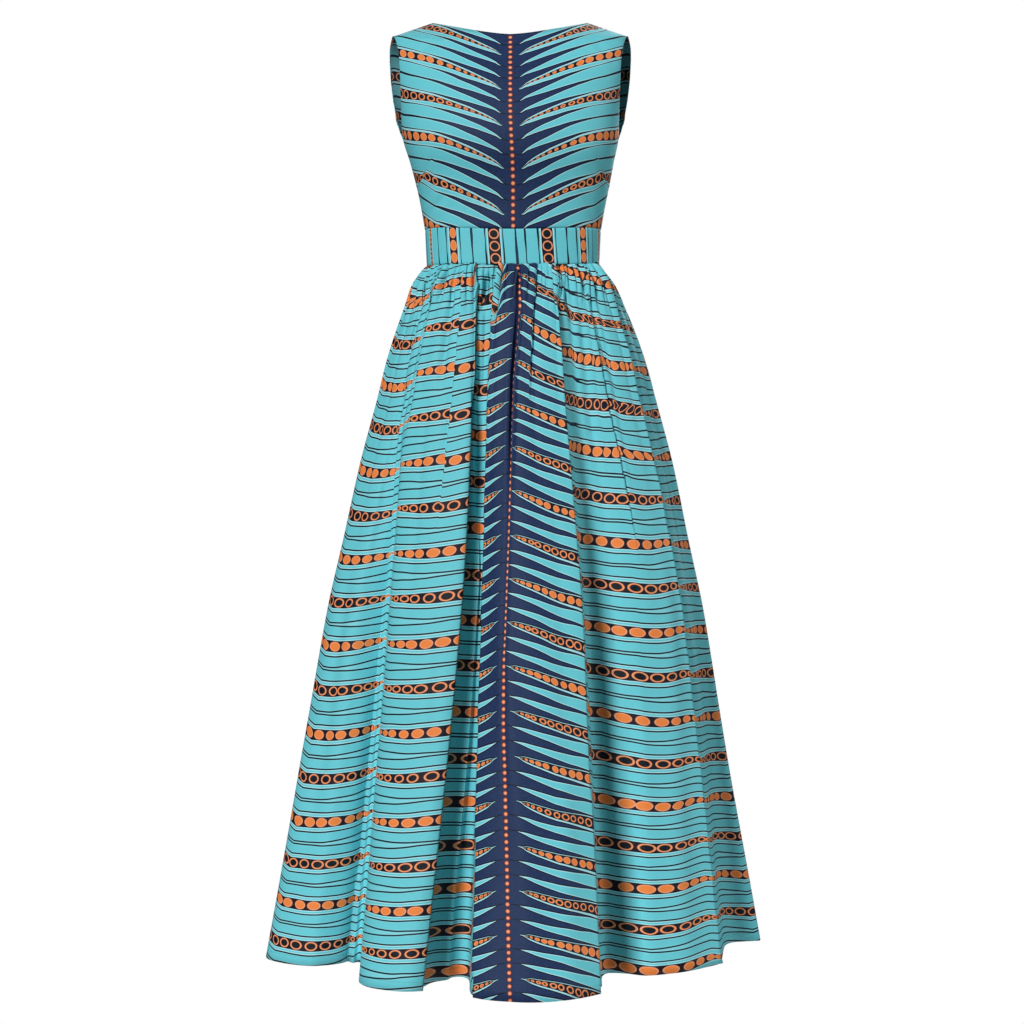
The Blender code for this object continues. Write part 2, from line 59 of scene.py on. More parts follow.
NECK_FRONT_Y = -0.062
NECK_BACK_Y = 0.056
NECK_CURVE_Y = 2.2
NECK_CURVE_Z = 1.65
HALF_COLUMNS = 13
NECK_COLUMN = 6

FRONT_SECTIONS = (
    # edge_z, centre_z, half_width, edge_y, centre_y, squareness
    (-0.3140, -0.3235, 0.1356, 0.000, -0.1000, 2.35),
    (-0.2750, -0.2810, 0.1425, 0.000, -0.1045, 2.40),
    (-0.2400, -0.2440, 0.1500, 0.000, -0.1130, 2.45),
    (-0.2050, -0.2100, 0.1580, 0.000, -0.1240, 2.50),
    (-0.1740, -0.1800, 0.1660, 0.000, -0.1275, 2.45),
    (-0.1500, -0.1560, 0.1672, -0.020, -0.1250, 2.40),
    (-0.1180, -0.1280, 0.1677, -0.034, -0.1180, 2.30),
    (-0.0850, -0.1000, 0.1686, -0.040, -0.1080, 2.20),
    (-0.0512, -0.0720, 0.1706, -0.036, -0.0930, 2.10),
    (-0.0240, -0.0450, 0.1760, -0.018, -0.0770, 2.00),
    (-0.0145, -0.0330, 0.1795, -0.006, -0.0695, 1.90),
)
BACK_SECTIONS = (
    # edge_z, centre_z, half_width, edge_y, centre_y, squareness
    (-0.3140, -0.3056, 0.1356, 0.000, 0.0880, 2.35),
    (-0.2750, -0.2680, 0.1425, 0.000, 0.0920, 2.40),
    (-0.2400, -0.2360, 0.1500, 0.000, 0.0990, 2.45),
    (-0.2050, -0.2030, 0.1580, 0.000, 0.1070, 2.45),
    (-0.1740, -0.1730, 0.1660, 0.000, 0.1115, 2.45),
    (-0.1500, -0.1480, 0.1745, 0.022, 0.1125, 2.40),
    (-0.1180, -0.1170, 0.1815, 0.038, 0.1100, 2.35),
    (-0.0850, -0.0860, 0.1865, 0.045, 0.1050, 2.30),
    (-0.0512, -0.0560, 0.1890, 0.041, 0.0950, 2.20),
    (-0.0240, -0.0300, 0.1880, 0.024, 0.0790, 2.05),
    (-0.0140, -0.0140, 0.1845, 0.009, 0.0670, 1.90),
)
BAND_TOP_HALF = 0.1356
BAND_BOTTOM_HALF = 0.1330
BAND_FRONT_Y = (-0.1000, -0.0985)
BAND_BACK_Y = (0.0880, 0.0875)
BAND_SQUARENESS = 2.35

FOLDS = (
    # turn, thigh_x, thigh_y, knee_x, knee_y, hem_x, hem_y
    (-90.0, -0.2105, 0.0050, -0.2820, 0.0100, -0.3715, 0.0100),
    (-80.0, -0.2070, -0.0200, -0.2800, -0.0300, -0.3700, -0.0720),
    (-66.0, -0.1770, -0.0580, -0.2380, -0.0740, -0.3029, -0.1186),
    (-54.0, -0.1570, -0.0790, -0.1850, -0.0780, -0.2290, -0.0920),
    (-46.0, -0.1500, -0.0990, -0.1795, -0.1460, -0.2195, -0.2280),
    (-36.0, -0.1087, -0.1280, -0.1284, -0.1890, -0.1776, -0.2740),
    (-24.0, -0.0640, -0.1370, -0.0800, -0.1930, -0.1350, -0.2720),
    (-17.0, -0.0515, -0.1190, -0.0640, -0.1500, -0.1080, -0.1980),
    (-11.0, -0.0380, -0.1230, -0.0450, -0.1540, -0.0670, -0.1980),
    (-6.0, -0.0310, -0.1460, -0.0400, -0.2030, -0.0555, -0.3090),
    (3.0, -0.0022, -0.1610, -0.0080, -0.2370, 0.0000, -0.3430),
    (15.0, 0.0398, -0.1590, 0.0480, -0.2350, 0.0600, -0.3380),
    (26.0, 0.0755, -0.1420, 0.0985, -0.2050, 0.1210, -0.2860),
    (33.0, 0.0926, -0.1160, 0.1120, -0.1410, 0.1350, -0.1700),
    (50.0, 0.1459, -0.0980, 0.1884, -0.1400, 0.2023, -0.1810),
    (68.0, 0.1935, -0.0580, 0.2534, -0.0830, 0.3044, -0.1050),
    (79.0, 0.2120, -0.0100, 0.2790, -0.0050, 0.3350, 0.0360),
    (90.0, 0.2231, 0.0100, 0.2950, 0.0300, 0.3920, 0.0660),
    (97.0, 0.2150, 0.045, 0.2780, 0.078, 0.3500, 0.118),
    (106.0, 0.1980, 0.068, 0.2500, 0.105, 0.3080, 0.160),
    (118.0, 0.1850, 0.092, 0.2400, 0.150, 0.3050, 0.238),
    (131.0, 0.1550, 0.114, 0.1980, 0.174, 0.2450, 0.275),
    (142.0, 0.1250, 0.120, 0.1600, 0.156, 0.1980, 0.208),
    (152.0, 0.0900, 0.131, 0.1150, 0.166, 0.1400, 0.212),
    (162.0, 0.0660, 0.148, 0.0880, 0.211, 0.1080, 0.303),
    (180.0, 0.0000, 0.161, 0.0000, 0.238, 0.0000, 0.337),
    (198.0, -0.0620, 0.149, -0.0850, 0.210, -0.1060, 0.296),
    (208.0, -0.0830, 0.133, -0.1060, 0.166, -0.1300, 0.213),
    (219.0, -0.1150, 0.122, -0.1480, 0.158, -0.1850, 0.207),
    (229.0, -0.1420, 0.121, -0.1790, 0.181, -0.2200, 0.283),
    (241.0, -0.1740, 0.098, -0.2250, 0.152, -0.2900, 0.244),
    (251.0, -0.1900, 0.078, -0.2460, 0.115, -0.3080, 0.170),
    (260.0, -0.2020, 0.0450, -0.2630, 0.0750, -0.3330, 0.1080),
    (270.0, -0.2105, 0.0050, -0.2820, 0.0100, -0.3715, 0.0100),
)
SKIRT_ROWS = (
    # z, upper_ring, share, gather_depth
    (-0.3705, 0, 0.00, 0.0016),
    (-0.3820, 0, 0.09, 0.0045),
    (-0.3940, 0, 0.185, 0.0065),
    (-0.4110, 0, 0.295, 0.0080),
    (-0.4370, 0, 0.44, 0.0085),
    (-0.4720, 0, 0.605, 0.0075),
    (-0.5200, 0, 0.80, 0.0058),
    (-0.5800, 1, 0.00, 0.0040),
    (-0.6800, 1, 0.37, 0.0022),
    (-0.7800, 1, 0.68, 0.0008),
    (-0.8900, 2, 0.00, 0.0),
    (-1.0700, 2, 0.34, 0.0),
    (-1.2500, 2, 0.675, 0.0),
    (-1.4260, 2, 1.00, 0.0),
)
GATHERS = 38
FLAT_BESIDE_ZIP = 6.0
GATHERS_START = 10.0
RIGHT_SEAM_FOLD = 17
BACK_SEAM_FOLD = 25

# ---------------------------------------------------------------- what the scene adds
CLOTH = 0.0009  # thickness of the shells
LIFT = 0.00045  # how far the outside stands off the solid's middle
SKIRT_CELLS = (446, 200, 200)  # columns of cells: front, right back, left back
SKIRT_LINES = 108
FINER_NEAR = (
    # fold number, spread, how many more columns
    (5.35, 0.25, 0.6), (6.15, 0.30, 1.0), (8.90, 0.20, 0.6), (10.00, 0.45, 1.8), (10.80, 0.25, 0.4),
    (11.90, 0.20, 0.8), (13.90, 0.20, 0.6), (15.10, 0.20, 0.8),
)
CROWD_STEPS = 6001  # steps in which the crowding of the columns is added up
BODICE_CELLS = (112, 88)
BAND_LINES = 18
BACK_EDGE_X = 0.0016  # the corner at the top of each back's opening keeps this far off the middle

# Fine gathers between the solid's own: how many to one of those, and how deep
FINE_GATHERS = 2.63
FINE_DEPTH = 0.0030
FADED_ROW = 7.0  # the dip of the waist seam has faded by this row of SKIRT_ROWS

# The print: a leaf repeat of LEAF mm, drawn from the vein out to REACH mm, where it turns back
LEAF = 64.5
REACH = 445.0
TURN = REACH / 1000.0

# Camera: level, at the middle of the dress's height, as far off as the view's perspective asks
CAMERA = (-0.00155, -3.162, -0.7487)
LENS_PIXELS = 2040.0
PICTURE_PIXELS = 1024.0
SENSOR = 36.0


# ---------------------------------------------------------------- form
def hermite(start, start_climb, end, end_climb, t):
    """A cubic between two values; a climb is how far the tangent rises over the whole step."""
    return (
        start * (1 + 2 * t) * (1 - t) ** 2
        + start_climb * t * (1 - t) ** 2
        + end * t * t * (3 - 2 * t)
        + end_climb * t * t * (t - 1)
    )


def cell_of(x, xs):
    """The step of a rising table that each x lies in."""
    return np.clip(np.searchsorted(xs, x, side="right") - 1, 0, len(xs) - 2)


def monotone(x, xs, ys):
    """A smooth curve that only rises, through a table that only rises."""
    step = np.diff(xs)
    slope = np.diff(ys) / step
    tangent = np.zeros(len(xs))
    tangent[0], tangent[-1] = slope[0], slope[-1]
    for i in range(1, len(xs) - 1):
        a = 2.0 * step[i] + step[i - 1]
        b = step[i] + 2.0 * step[i - 1]
        tangent[i] = (a + b) / (a / slope[i - 1] + b / slope[i])
    k = cell_of(x, xs)
    t = np.clip((x - xs[k]) / step[k], 0.0, 1.0)
    return hermite(ys[k], tangent[k] * step[k], ys[k + 1], tangent[k + 1] * step[k], t)


def smooth(x, low, high):
    t = np.clip((np.asarray(x, float) - low) / (high - low), 0.0, 1.0)
    return t * t * (3.0 - 2.0 * t)


def deep(z, low, high):
    """0 down to low metres below the origin, 1 from high down, smooth between."""
    return float(smooth(-z, low, high))


def catmull(before, start, end, after, way):
    return 0.5 * (
        2.0 * start
        + (end - before) * way
        + (2.0 * before - 5.0 * start + 4.0 * end - after) * way**2
        + (3.0 * start - before - 3.0 * end + after) * way**3
    )


def section_y(x, half_width, edge_y, centre_y, squareness):
    edge_share = 1.0 - abs(edge_y / centre_y) ** squareness
    share = edge_share * (abs(x) / half_width) ** squareness
    return centre_y * max(0.0, 1.0 - share) ** (1.0 / squareness)


def lean(z):
    return LEAN_X * smooth(z, LEAN_FROM_Z, LEAN_FULL_Z)


def column_share(column):
    step = math.asin(NECK_POINT_X / SHOULDER_TIP_X) / NECK_COLUMN
    at_side = abs(column) >= HALF_COLUMNS - 1e-9
    return 1.0 if at_side else abs(math.sin(column * step))


def bodice_point(section, column):
    edge_z, centre_z, half_width, edge_y, centre_y, squareness = section
    share = column_share(column)
    x = math.copysign(half_width * share, column)
    y = section_y(x, half_width, edge_y, centre_y, squareness)
    if share == 1.0:
        y = edge_y
    return (x, y, edge_z + (centre_z - edge_z) * (1.0 - share * share))


def top_point(column, centre_y, centre_z):
    x = SHOULDER_TIP_X * column_share(column)
    if abs(column) <= NECK_COLUMN + 1e-9:
        way = min(1.0, x / NECK_POINT_X)
        y = centre_y + (SHOULDER_Y - centre_y) * way**NECK_CURVE_Y
        z = centre_z + (NECK_POINT_Z - centre_z) * way**NECK_CURVE_Z
    else:
        way = (x - NECK_POINT_X) / (SHOULDER_TIP_X - NECK_POINT_X)
        y = SHOULDER_Y
        z = NECK_POINT_Z + (SHOULDER_TIP_Z - NECK_POINT_Z) * way
    return (math.copysign(x, column), y, z)


def bodice_grid(sections, columns, centre_y, centre_z):
    """Points of a bodice panel, rows from the waist up, smooth through the sections."""
    coarse = np.array(
        [[bodice_point(s, c) for c in columns] for s in sections]
        + [[top_point(c, centre_y, centre_z) for c in columns]]
    )
    heights = np.linalg.norm(np.diff(coarse[:, len(columns) // 2], axis=0), axis=1)
    at = np.concatenate([[0.0], np.cumsum(heights)])
    ways = np.linspace(0.0, at[-1], BODICE_CELLS[1] + 1)
    rows = []
    for n, way in zip(cell_of(ways, at), ways):
        p1, p2 = coarse[n], coarse[n + 1]
        p0 = coarse[n - 1] if n else 2 * p1 - p2
        p3 = coarse[n + 2] if n + 2 < len(at) else 2 * p2 - p1
        # uneven rows: tangents by distance, so that the curve keeps to the panel
        h = at[n + 1] - at[n]
        h0 = at[n] - at[n - 1] if n else h
        h2 = at[n + 2] - at[n + 1] if n + 2 < len(at) else h
        m1 = ((p1 - p0) / h0 * h + (p2 - p1) / h * h0) / (h + h0)
        m2 = ((p2 - p1) / h * h2 + (p3 - p2) / h2 * h) / (h + h2)
        rows.append(hermite(p1, m1 * h, p2, m2 * h, (way - at[n]) / h))
    grid = np.array(rows)
    grid[..., 0] += lean(grid[..., 2])
    return grid


def seam_dip(x, half_width, dip):
    return dip * (1.0 - np.minimum(1.0, np.abs(x) / half_width) ** 2)


def band_point(column, share, back):
    half = BAND_TOP_HALF + (BAND_BOTTOM_HALF - BAND_TOP_HALF) * share
    centre = BAND_BACK_Y if back else BAND_FRONT_Y
    centre_y = centre[0] + (centre[1] - centre[0]) * share
    x = math.copysign(half * column_share(column), column)
    y = section_y(x, half, 0.0, centre_y, BAND_SQUARENESS)
    if column_share(column) == 1.0:
        y = 0.0
    top = BAND_TOP_SIDE_Z + seam_dip(x, BAND_TOP_HALF, BAND_TOP_DIP[back])
    bottom = BAND_BOTTOM_SIDE_Z + seam_dip(x, BAND_BOTTOM_HALF, BAND_BOTTOM_DIP[back])
    return (x, y, top + (bottom - top) * share)


def fold_lengths():
    places = [0.0]
    hem = [Vector(fold[5:7]) for fold in FOLDS]
    whole = sum((b - a).length for a, b in zip(hem, hem[1:]))
    for k in range(1, len(FOLDS)):
        hem_share = (hem[k] - hem[k - 1]).length / whole
        turn_share = (FOLDS[k][0] - FOLDS[k - 1][0]) / 360.0
        places.append(places[-1] + 0.5 * hem_share + 0.5 * turn_share)
    return np.array(places)


def fold_values(at, places, entry):
    """One column of FOLDS at places round the skirt."""
    count = len(FOLDS) - 1
    k = np.clip(np.searchsorted(places, at + 1e-9, side="right") - 1, 0, count - 1)
    way = (at - places[k]) / (places[k + 1] - places[k])
    column = np.array([fold[entry] for fold in FOLDS[:count]])
    lap = 360.0 if entry == 0 else 0.0

    def value(i):
        return column[i % count] + lap * (i // count)

    return catmull(value(k - 1), value(k), value(k + 1), value(k + 2), way)


def fold_number(at, places):
    return np.interp(at, places, np.arange(len(FOLDS)))


def uneven_by(phase, low, swing, turn, start):
    """A value for each gather, passing softly from one to the next in the valley between."""
    number = np.floor(phase / math.tau + 0.5)
    part = phase / math.tau + 0.5 - number
    before, here, after = (low + swing * np.sin((number + k) * turn + start) for k in (-1, 0, 1))
    up = 0.5 * smooth(part, 0.86, 1.0)
    down = 0.5 * (1.0 - smooth(part, 0.0, 0.14))
    return here * (1.0 - up - down) + after * up + before * down


def skirt_columns(places):
    """Where the columns stand round the skirt, closer together near the sharper folds."""
    stops = (0.0, places[RIGHT_SEAM_FOLD], places[BACK_SEAM_FOLD], 1.0)
    parts = [[0.0]]
    for a, b, cells in zip(stops, stops[1:], SKIRT_CELLS):
        fine = np.linspace(a, b, CROWD_STEPS)
        number = fold_number(fine, places)
        crowd = np.ones(len(fine))
        for fold, spread, more in FINER_NEAR:
            crowd += more * np.exp(-(((number - fold) / spread) ** 2))
        crowd = np.concatenate([[0.0], np.cumsum(0.5 * (crowd[1:] + crowd[:-1]))])
        parts.append(np.interp(np.linspace(0.0, crowd[-1], cells + 1), crowd, fine)[1:])
    return np.concatenate(parts)


def skirt_form():
    """The whole skirt: grid of points, fold number of each column and the gathers' valleys."""
    places = fold_lengths()
    at = skirt_columns(places)
    table = np.array(SKIRT_ROWS)
    depth_from_top = -table[:, 0]
    # lines crowd towards the waist, where the gathers are
    span = depth_from_top[-1] - depth_from_top[0]
    way = np.linspace(0.0, 1.0, SKIRT_LINES + 1)
    drop = depth_from_top[0] + span * (0.35 * way + 0.65 * way**1.8)
    reach = monotone(drop, depth_from_top, table[:, 1] + table[:, 2])
    row_number = np.interp(drop, depth_from_top, np.arange(len(table)))
    gather = np.interp(drop, depth_from_top, table[:, 3])

    turn = fold_values(at, places, 0)
    angle = np.radians(turn)
    side, ahead = np.sin(angle), np.cos(angle)
    power = 2.0 / BAND_SQUARENESS
    depth = np.where(ahead < 0.0, BAND_BACK_Y[1], BAND_FRONT_Y[1])
    waist_x = np.sign(side) * np.abs(side) ** power * BAND_BOTTOM_HALF
    rings = [np.stack([waist_x, np.abs(ahead) ** power * depth], axis=1)]
    for entry in (1, 3, 5):
        rings.append(np.stack([fold_values(at, places, k) for k in (entry, entry + 1)], axis=1))
    rings = np.array([2 * rings[0] - rings[1]] + rings + [2 * rings[3] - rings[2]])

    phase = angle * GATHERS + 0.9 * np.sin(angle * 5.0 + 0.6)
    beside = np.clip((np.abs(turn - 180.0) - FLAT_BESIDE_ZIP) / GATHERS_START, 0.0, 1.0)
    trough = np.sin(phase / 2.0) ** 2
    soft = 1.0 - 2.0 * trough**4.5
    uneven = uneven_by(phase, 0.78, 0.22, 2.4, 1.0)
    at_front = 0.5 + 0.5 * np.sign(ahead)
    fine_phase = angle * GATHERS * FINE_GATHERS + 1.6 * np.sin(angle * 7.0 + 0.4)
    fine_length = np.clip(uneven_by(fine_phase, 0.75, 0.5, 2.9, 0.7), 0.0, 1.5)
    crest = 1.0 - 2.0 * np.sin(fine_phase / 2.0) ** 4
    front_dip, back_dip = (seam_dip(waist_x, BAND_BOTTOM_HALF, dip) for dip in BAND_BOTTOM_DIP)

    grid = np.zeros((len(drop), len(at), 3))
    valley = np.zeros(grid.shape[:2])
    for i, down in enumerate(drop - depth_from_top[0]):
        n = min(int(reach[i]), 2)
        flat = catmull(rings[n], rings[n + 1], rings[n + 2], rings[n + 3], reach[i] - n)
        closed = np.concatenate([flat[-2:-1], flat, flat[1:2]])
        along = closed[2:] - closed[:-2]
        along /= np.linalg.norm(along, axis=1)[:, None]
        out = np.stack([along[:, 1], -along[:, 0]], axis=1)
        faded = min(row_number[i] / FADED_ROW, 1.0)
        fading = uneven_by(phase, 1.0, 0.5 * faded, 1.7, 0.0)
        stays = 1.0 - (0.35 + 0.45 * at_front) * smooth(down, 0.022, 0.065)
        fine_depth = FINE_DEPTH * smooth(down, -0.004, 0.010) * (1.0 - smooth(down, 0.020, 0.085))
        wave = gather[i] * soft * uneven * fading * beside * stays
        wave = wave + fine_depth * fine_length * crest * beside
        grid[i, :, :2] = flat + out * wave[:, None]
        grid[i, :, 2] = -drop[i] + np.where(flat[:, 1] > 0.0, back_dip, front_dip) * (1.0 - faded)
        fine_valley = np.sin(fine_phase / 2.0) ** 12 * fine_depth / FINE_DEPTH
        valley[i] = (trough**7 * min(gather[i] / 0.0060, 1.0) + 0.5 * fine_valley) * beside
    grid[:, -1] = grid[:, 0]
    return grid, fold_number(at, places), valley


# Creases of the skirt: between two heights, along a line from fold number to fold
# number, so deep (minus for a ridge) and so wide
SKIRT_CREASES = (
    # top_z, bottom_z, top_fold, bottom_fold, depth, half_width
    (-0.376, -0.560, 2.60, 2.00, 0.0060, 0.0060),
    (-0.380, -0.600, 5.08, 4.95, 0.0065, 0.0070),
    (-0.376, -0.660, 3.70, 3.75, 0.0085, 0.0060),
    (-0.580, -0.900, 6.34, 6.30, 0.0100, 0.0085),
    (-0.680, -1.426, 7.05, 7.02, -0.0160, 0.0170),
    (-0.600, -1.426, 12.22, 12.18, 0.0080, 0.0080),
    (-0.390, -0.560, 13.82, 14.15, 0.0060, 0.0060),
    (-0.410, -0.700, 13.46, 13.42, 0.0060, 0.0070),
    (-0.376, -0.480, 12.50, 13.25, 0.0060, 0.0048),
    (-0.372, -0.460, 8.05, 6.95, 0.0060, 0.0048),
    (-0.372, -0.440, 4.60, 4.50, 0.0056, 0.0045),
    (-0.372, -0.430, 11.20, 11.28, 0.0056, 0.0045),
    (-0.372, -0.440, 15.60, 15.50, 0.0056, 0.0050),
    (-0.540, -0.980, 4.62, 4.50, 0.0022, 0.0090),
    (-0.900, -1.380, 5.45, 5.55, 0.0028, 0.0140),
    (-0.560, -1.050, 13.45, 13.55, 0.0035, 0.0095),
    (-0.980, -1.426, 13.75, 13.60, 0.0060, 0.0170),
    (-0.760, -1.426, 14.60, 14.45, -0.0040, 0.0220),
    (-0.640, -1.200, 11.35, 11.45, 0.0018, 0.0120),
    (-1.100, -1.426, 11.30, 11.20, -0.0040, 0.0200),
    (-0.480, -0.900, 2.35, 2.30, 0.0030, 0.0090),
    (-0.800, -1.380, 1.60, 1.55, 0.0045, 0.0160),
    (-0.950, -1.426, 2.50, 2.45, -0.0040, 0.0180),
    (-0.450, -0.900, 15.50, 15.60, 0.0026, 0.0080),
    (-0.900, -1.400, 16.50, 16.40, 0.0040, 0.0150),
    (-0.420, -0.760, 18.60, 18.50, 0.0034, 0.0080),
    (-0.520, -1.000, 20.40, 20.50, 0.0036, 0.0100),
    (-0.900, -1.400, 20.90, 20.80, 0.0050, 0.0170),
    (-0.440, -0.880, 22.60, 22.40, 0.0032, 0.0085),
    (-0.600, -1.150, 24.20, 24.40, 0.0034, 0.0110),
    (-0.980, -1.426, 24.60, 24.55, -0.0045, 0.0200),
    (-0.460, -0.900, 26.40, 26.50, 0.0034, 0.0090),
    (-0.700, -1.250, 25.50, 25.45, 0.0030, 0.0120),
    (-0.540, -1.040, 28.60, 28.40, 0.0034, 0.0095),
    (-0.900, -1.426, 29.40, 29.50, 0.0050, 0.0160),
    (-0.430, -0.820, 30.40, 30.60, 0.0032, 0.0085),
    (-0.800, -1.350, 31.60, 31.50, 0.0045, 0.0150),
    (-0.500, -0.950, 32.40, 32.50, 0.0028, 0.0090),
)

# A pleat's edge: which side lies on top (1 right, -1 left), its height and how far it takes to
# settle, then mm by which the print jumps down to its right and the guides (see SKIRT_LEVELS)
# between which the jump is made good
PLEATS = (
    # top_z, bottom_z, top_fold, bottom_fold, side, height, settle, jump, guide before, guide after
    (-0.370, -0.660, 3.96, 3.84, 1, 0.0035, 0.012, 0.0, 3.0, 4.15),
    (-0.370, -0.800, 5.60, 5.15, 1, 0.0030, 0.010, -8.0, 4.15, 5.98),
    (-0.370, -0.460, 5.90, 5.86, 1, 0.0022, 0.006, -3.0, 4.15, 5.98),
    (-0.540, -2.400, 2.82, 2.62, 1, 0.0085, 0.022, 0.0, 3.0, 4.15),
    (-0.370, -0.660, 6.50, 6.02, -1, 0.0040, 0.012, 0.0, 5.98, 6.12),
    (-0.560, -2.400, 6.04, 6.00, -1, 0.0090, 0.022, 0.0, 5.98, 6.12),
    (-0.370, -2.400, 8.84, 9.29, 1, 0.0070, 0.014, 0.0, 8.6, 9.0),
    (-0.370, -0.620, 10.72, 10.62, -1, 0.0030, 0.010, 7.0, 10.0, 11.1),
    (-0.370, -2.400, 11.87, 11.95, -1, 0.0085, 0.020, 0.0, 11.9, 12.1),
    (-0.400, -0.850, 13.74, 14.12, -1, 0.0030, 0.012, 7.0, 13.2, 14.9),
    (-0.370, -2.400, 14.80, 15.29, -1, 0.0070, 0.016, 0.0, 14.9, 16.7),
    (-0.370, -0.900, 18.90, 18.70, -1, 0.0030, 0.012, 5.0, 16.7, 34.2),
    (-0.370, -1.000, 23.30, 23.60, 1, 0.0030, 0.012, -5.0, 16.7, 34.2),
    (-0.370, -0.900, 27.20, 27.00, -1, 0.0030, 0.012, 5.0, 16.7, 34.2),
    (-0.370, -1.000, 31.10, 31.30, 1, 0.0030, 0.012, -5.0, 16.7, 34.2),
)


PLEAT_LEAD = 0.012  # a pleat starts this far above its top
AT_WAIST_Z = -0.42  # a pleat from above this rises over its lead, a lower one over LOW_LEAD
LOW_LEAD = 0.10


def pleat_spots(heights, folds, lengths):
    """For each pleat: how strong it is on each row and where it lies along the row."""
    for top, bottom, fold_top, fold_bottom, *_ in PLEATS:
        way = np.clip((top - heights) / (top - bottom), 0.0, 1.0)
        lead = PLEAT_LEAD if top > AT_WAIST_Z else LOW_LEAD
        strong = smooth(top + PLEAT_LEAD - heights, 0.0, lead) * (1.0 - smooth(way, 0.60, 1.0))
        number = fold_top + (fold_bottom - fold_top) * way
        spots = np.array([np.interp(n, folds, row) for n, row in zip(number, lengths)])
        yield strong, spots


# Where the print's vein lies across the front of the skirt: down the crease of the centre fold
VEIN = (
    # z, x
    (-0.370, 0.0073), (-0.395, 0.0090), (-0.430, 0.0110), (-0.480, 0.0070), (-0.550, 0.0005),
    (-0.620, -0.0020), (-0.710, -0.0043), (-0.780, -0.0062), (-0.880, -0.0097),
    (-0.960, -0.0130), (-1.050, -0.0135), (-1.140, -0.0110), (-1.250, -0.0085),
    (-1.350, -0.0065), (-1.430, -0.0040),
)
VEIN_FOLDS = (8.8, 12.6)  # the vein lies between these folds
VEIN_CREASE_HALF = 0.0045


def vein_lengths(grid, folds, lengths, heights):
    """How far along each row the vein lies."""
    near = np.nonzero((folds > VEIN_FOLDS[0]) & (folds < VEIN_FOLDS[1]))[0]
    drops, xs = [-row[0] for row in VEIN], [row[1] for row in VEIN]
    places = np.interp(-heights, drops, xs)
    rising = np.maximum.accumulate(grid[:, near, 0], axis=1)
    return np.array([np.interp(*row) for row in zip(places, rising, lengths[:, near])])


def second_edge(z):
    """Fold number of the second fold's right edge, where the cloth turns out of sight."""
    return 6.37 - 0.35 * deep(z, 0.48, 0.67)


# Guides down the skirt: cm below the origin, and by how many mm the print sits lower there than
# the cloth's own length says
SIDE_LEVELS = ((43, 56, 69, 82, 95, 105, 115, 125, 140), (17, 14, 8, 0, -6, -14, -20, -22, -12))
SECOND_FOLD_LEVELS = ((43, 50, 60, 85, 97, 110, 124, 135, 141), (79, 71, 66, 46, 43, 36, 39, 45, 52))
SKIRT_LEVELS = (
    # fold number, then the guide's cm and mm
    (1.2, *SIDE_LEVELS),
    (3.0, (43, 56, 69, 82, 95, 107, 120, 132, 140), (36, 31, 27, 29, 28, 25, 25, 26, 31)),
    (4.15, (43, 54, 61, 78, 95, 107, 125, 132, 140), (49, 43, 37, 27, 20, 19, 21, 25, 32)),
    (5.98, (43, 54, 61, 78, 95, 113, 131, 140), (54, 50, 41, 31, 24, 24, 26, 34)),
    (6.12, *SECOND_FOLD_LEVELS),
    (8.6, *SECOND_FOLD_LEVELS),
    (9.0, (43, 52, 60, 80, 95, 110, 124, 135, 141), (52, 43, 39, 34, 37, 35, 40, 45, 50)),
    (10.0, (43, 52, 60, 80, 95, 110, 124, 135, 141), (52, 43, 40, 33, 37, 35, 40, 46, 52)),
    (11.1, (43, 54, 61, 74, 87, 100, 117, 130, 141), (50, 40, 37, 31, 34, 37, 37, 46, 59)),
    (11.9, (43, 56, 62, 74, 88, 107, 120, 131, 141), (47, 37, 37, 34, 37, 41, 46, 55, 62)),
    (12.1, (43, 51, 60, 75, 91, 107, 120, 131, 141), (39, 30, 28, 36, 42, 45, 49, 55, 64)),
    (13.2, (43, 51, 60, 75, 91, 107, 120, 131, 141), (44, 41, 38, 41, 43, 46, 48, 53, 65)),
    (14.0, (43, 53, 60, 73, 92, 106, 119, 130, 142), (48, 49, 45, 38, 32, 31, 35, 43, 54)),
    (14.9, (43, 53, 67, 92, 106, 119, 130, 141), (50, 48, 35, 29, 23, 30, 42, 54)),
    (16.7, (43, 55, 67, 80, 94, 107, 125, 132, 140), (44, 38, 32, 19, 13, 4, 2, 5, 10)),
    (34.2, *SIDE_LEVELS),
)
SECOND_EDGE_GUIDES = slice(3, 5)  # these two keep to the second fold's right edge


def row_lengths(grid):
    steps = np.linalg.norm(np.diff(grid, axis=1), axis=2)
    return np.concatenate([np.zeros((len(grid), 1)), np.cumsum(steps, axis=1)], axis=1)


def column_lengths(grid):
    return row_lengths(grid.transpose(1, 0, 2)).T


def normals_of(grid, closed=False):
    along, across = np.gradient(grid, axis=1), np.gradient(grid, axis=0)
    if closed:
        along[:, 0] = along[:, -1] = grid[:, 1] - grid[:, -2]
    normal = np.cross(along, across)
    normal /= np.maximum(np.linalg.norm(normal, axis=2), 1e-12)[..., None]
    middle = grid[len(grid) // 2, grid.shape[1] // 2]
    facing = normal[len(grid) // 2, grid.shape[1] // 2]
    if not closed:
        if facing[0] * middle[0] + facing[1] * middle[1] < 0.0:
            normal = -normal
    elif normal[-1, 0, 0] > 0.0:
        normal = -normal
    return normal


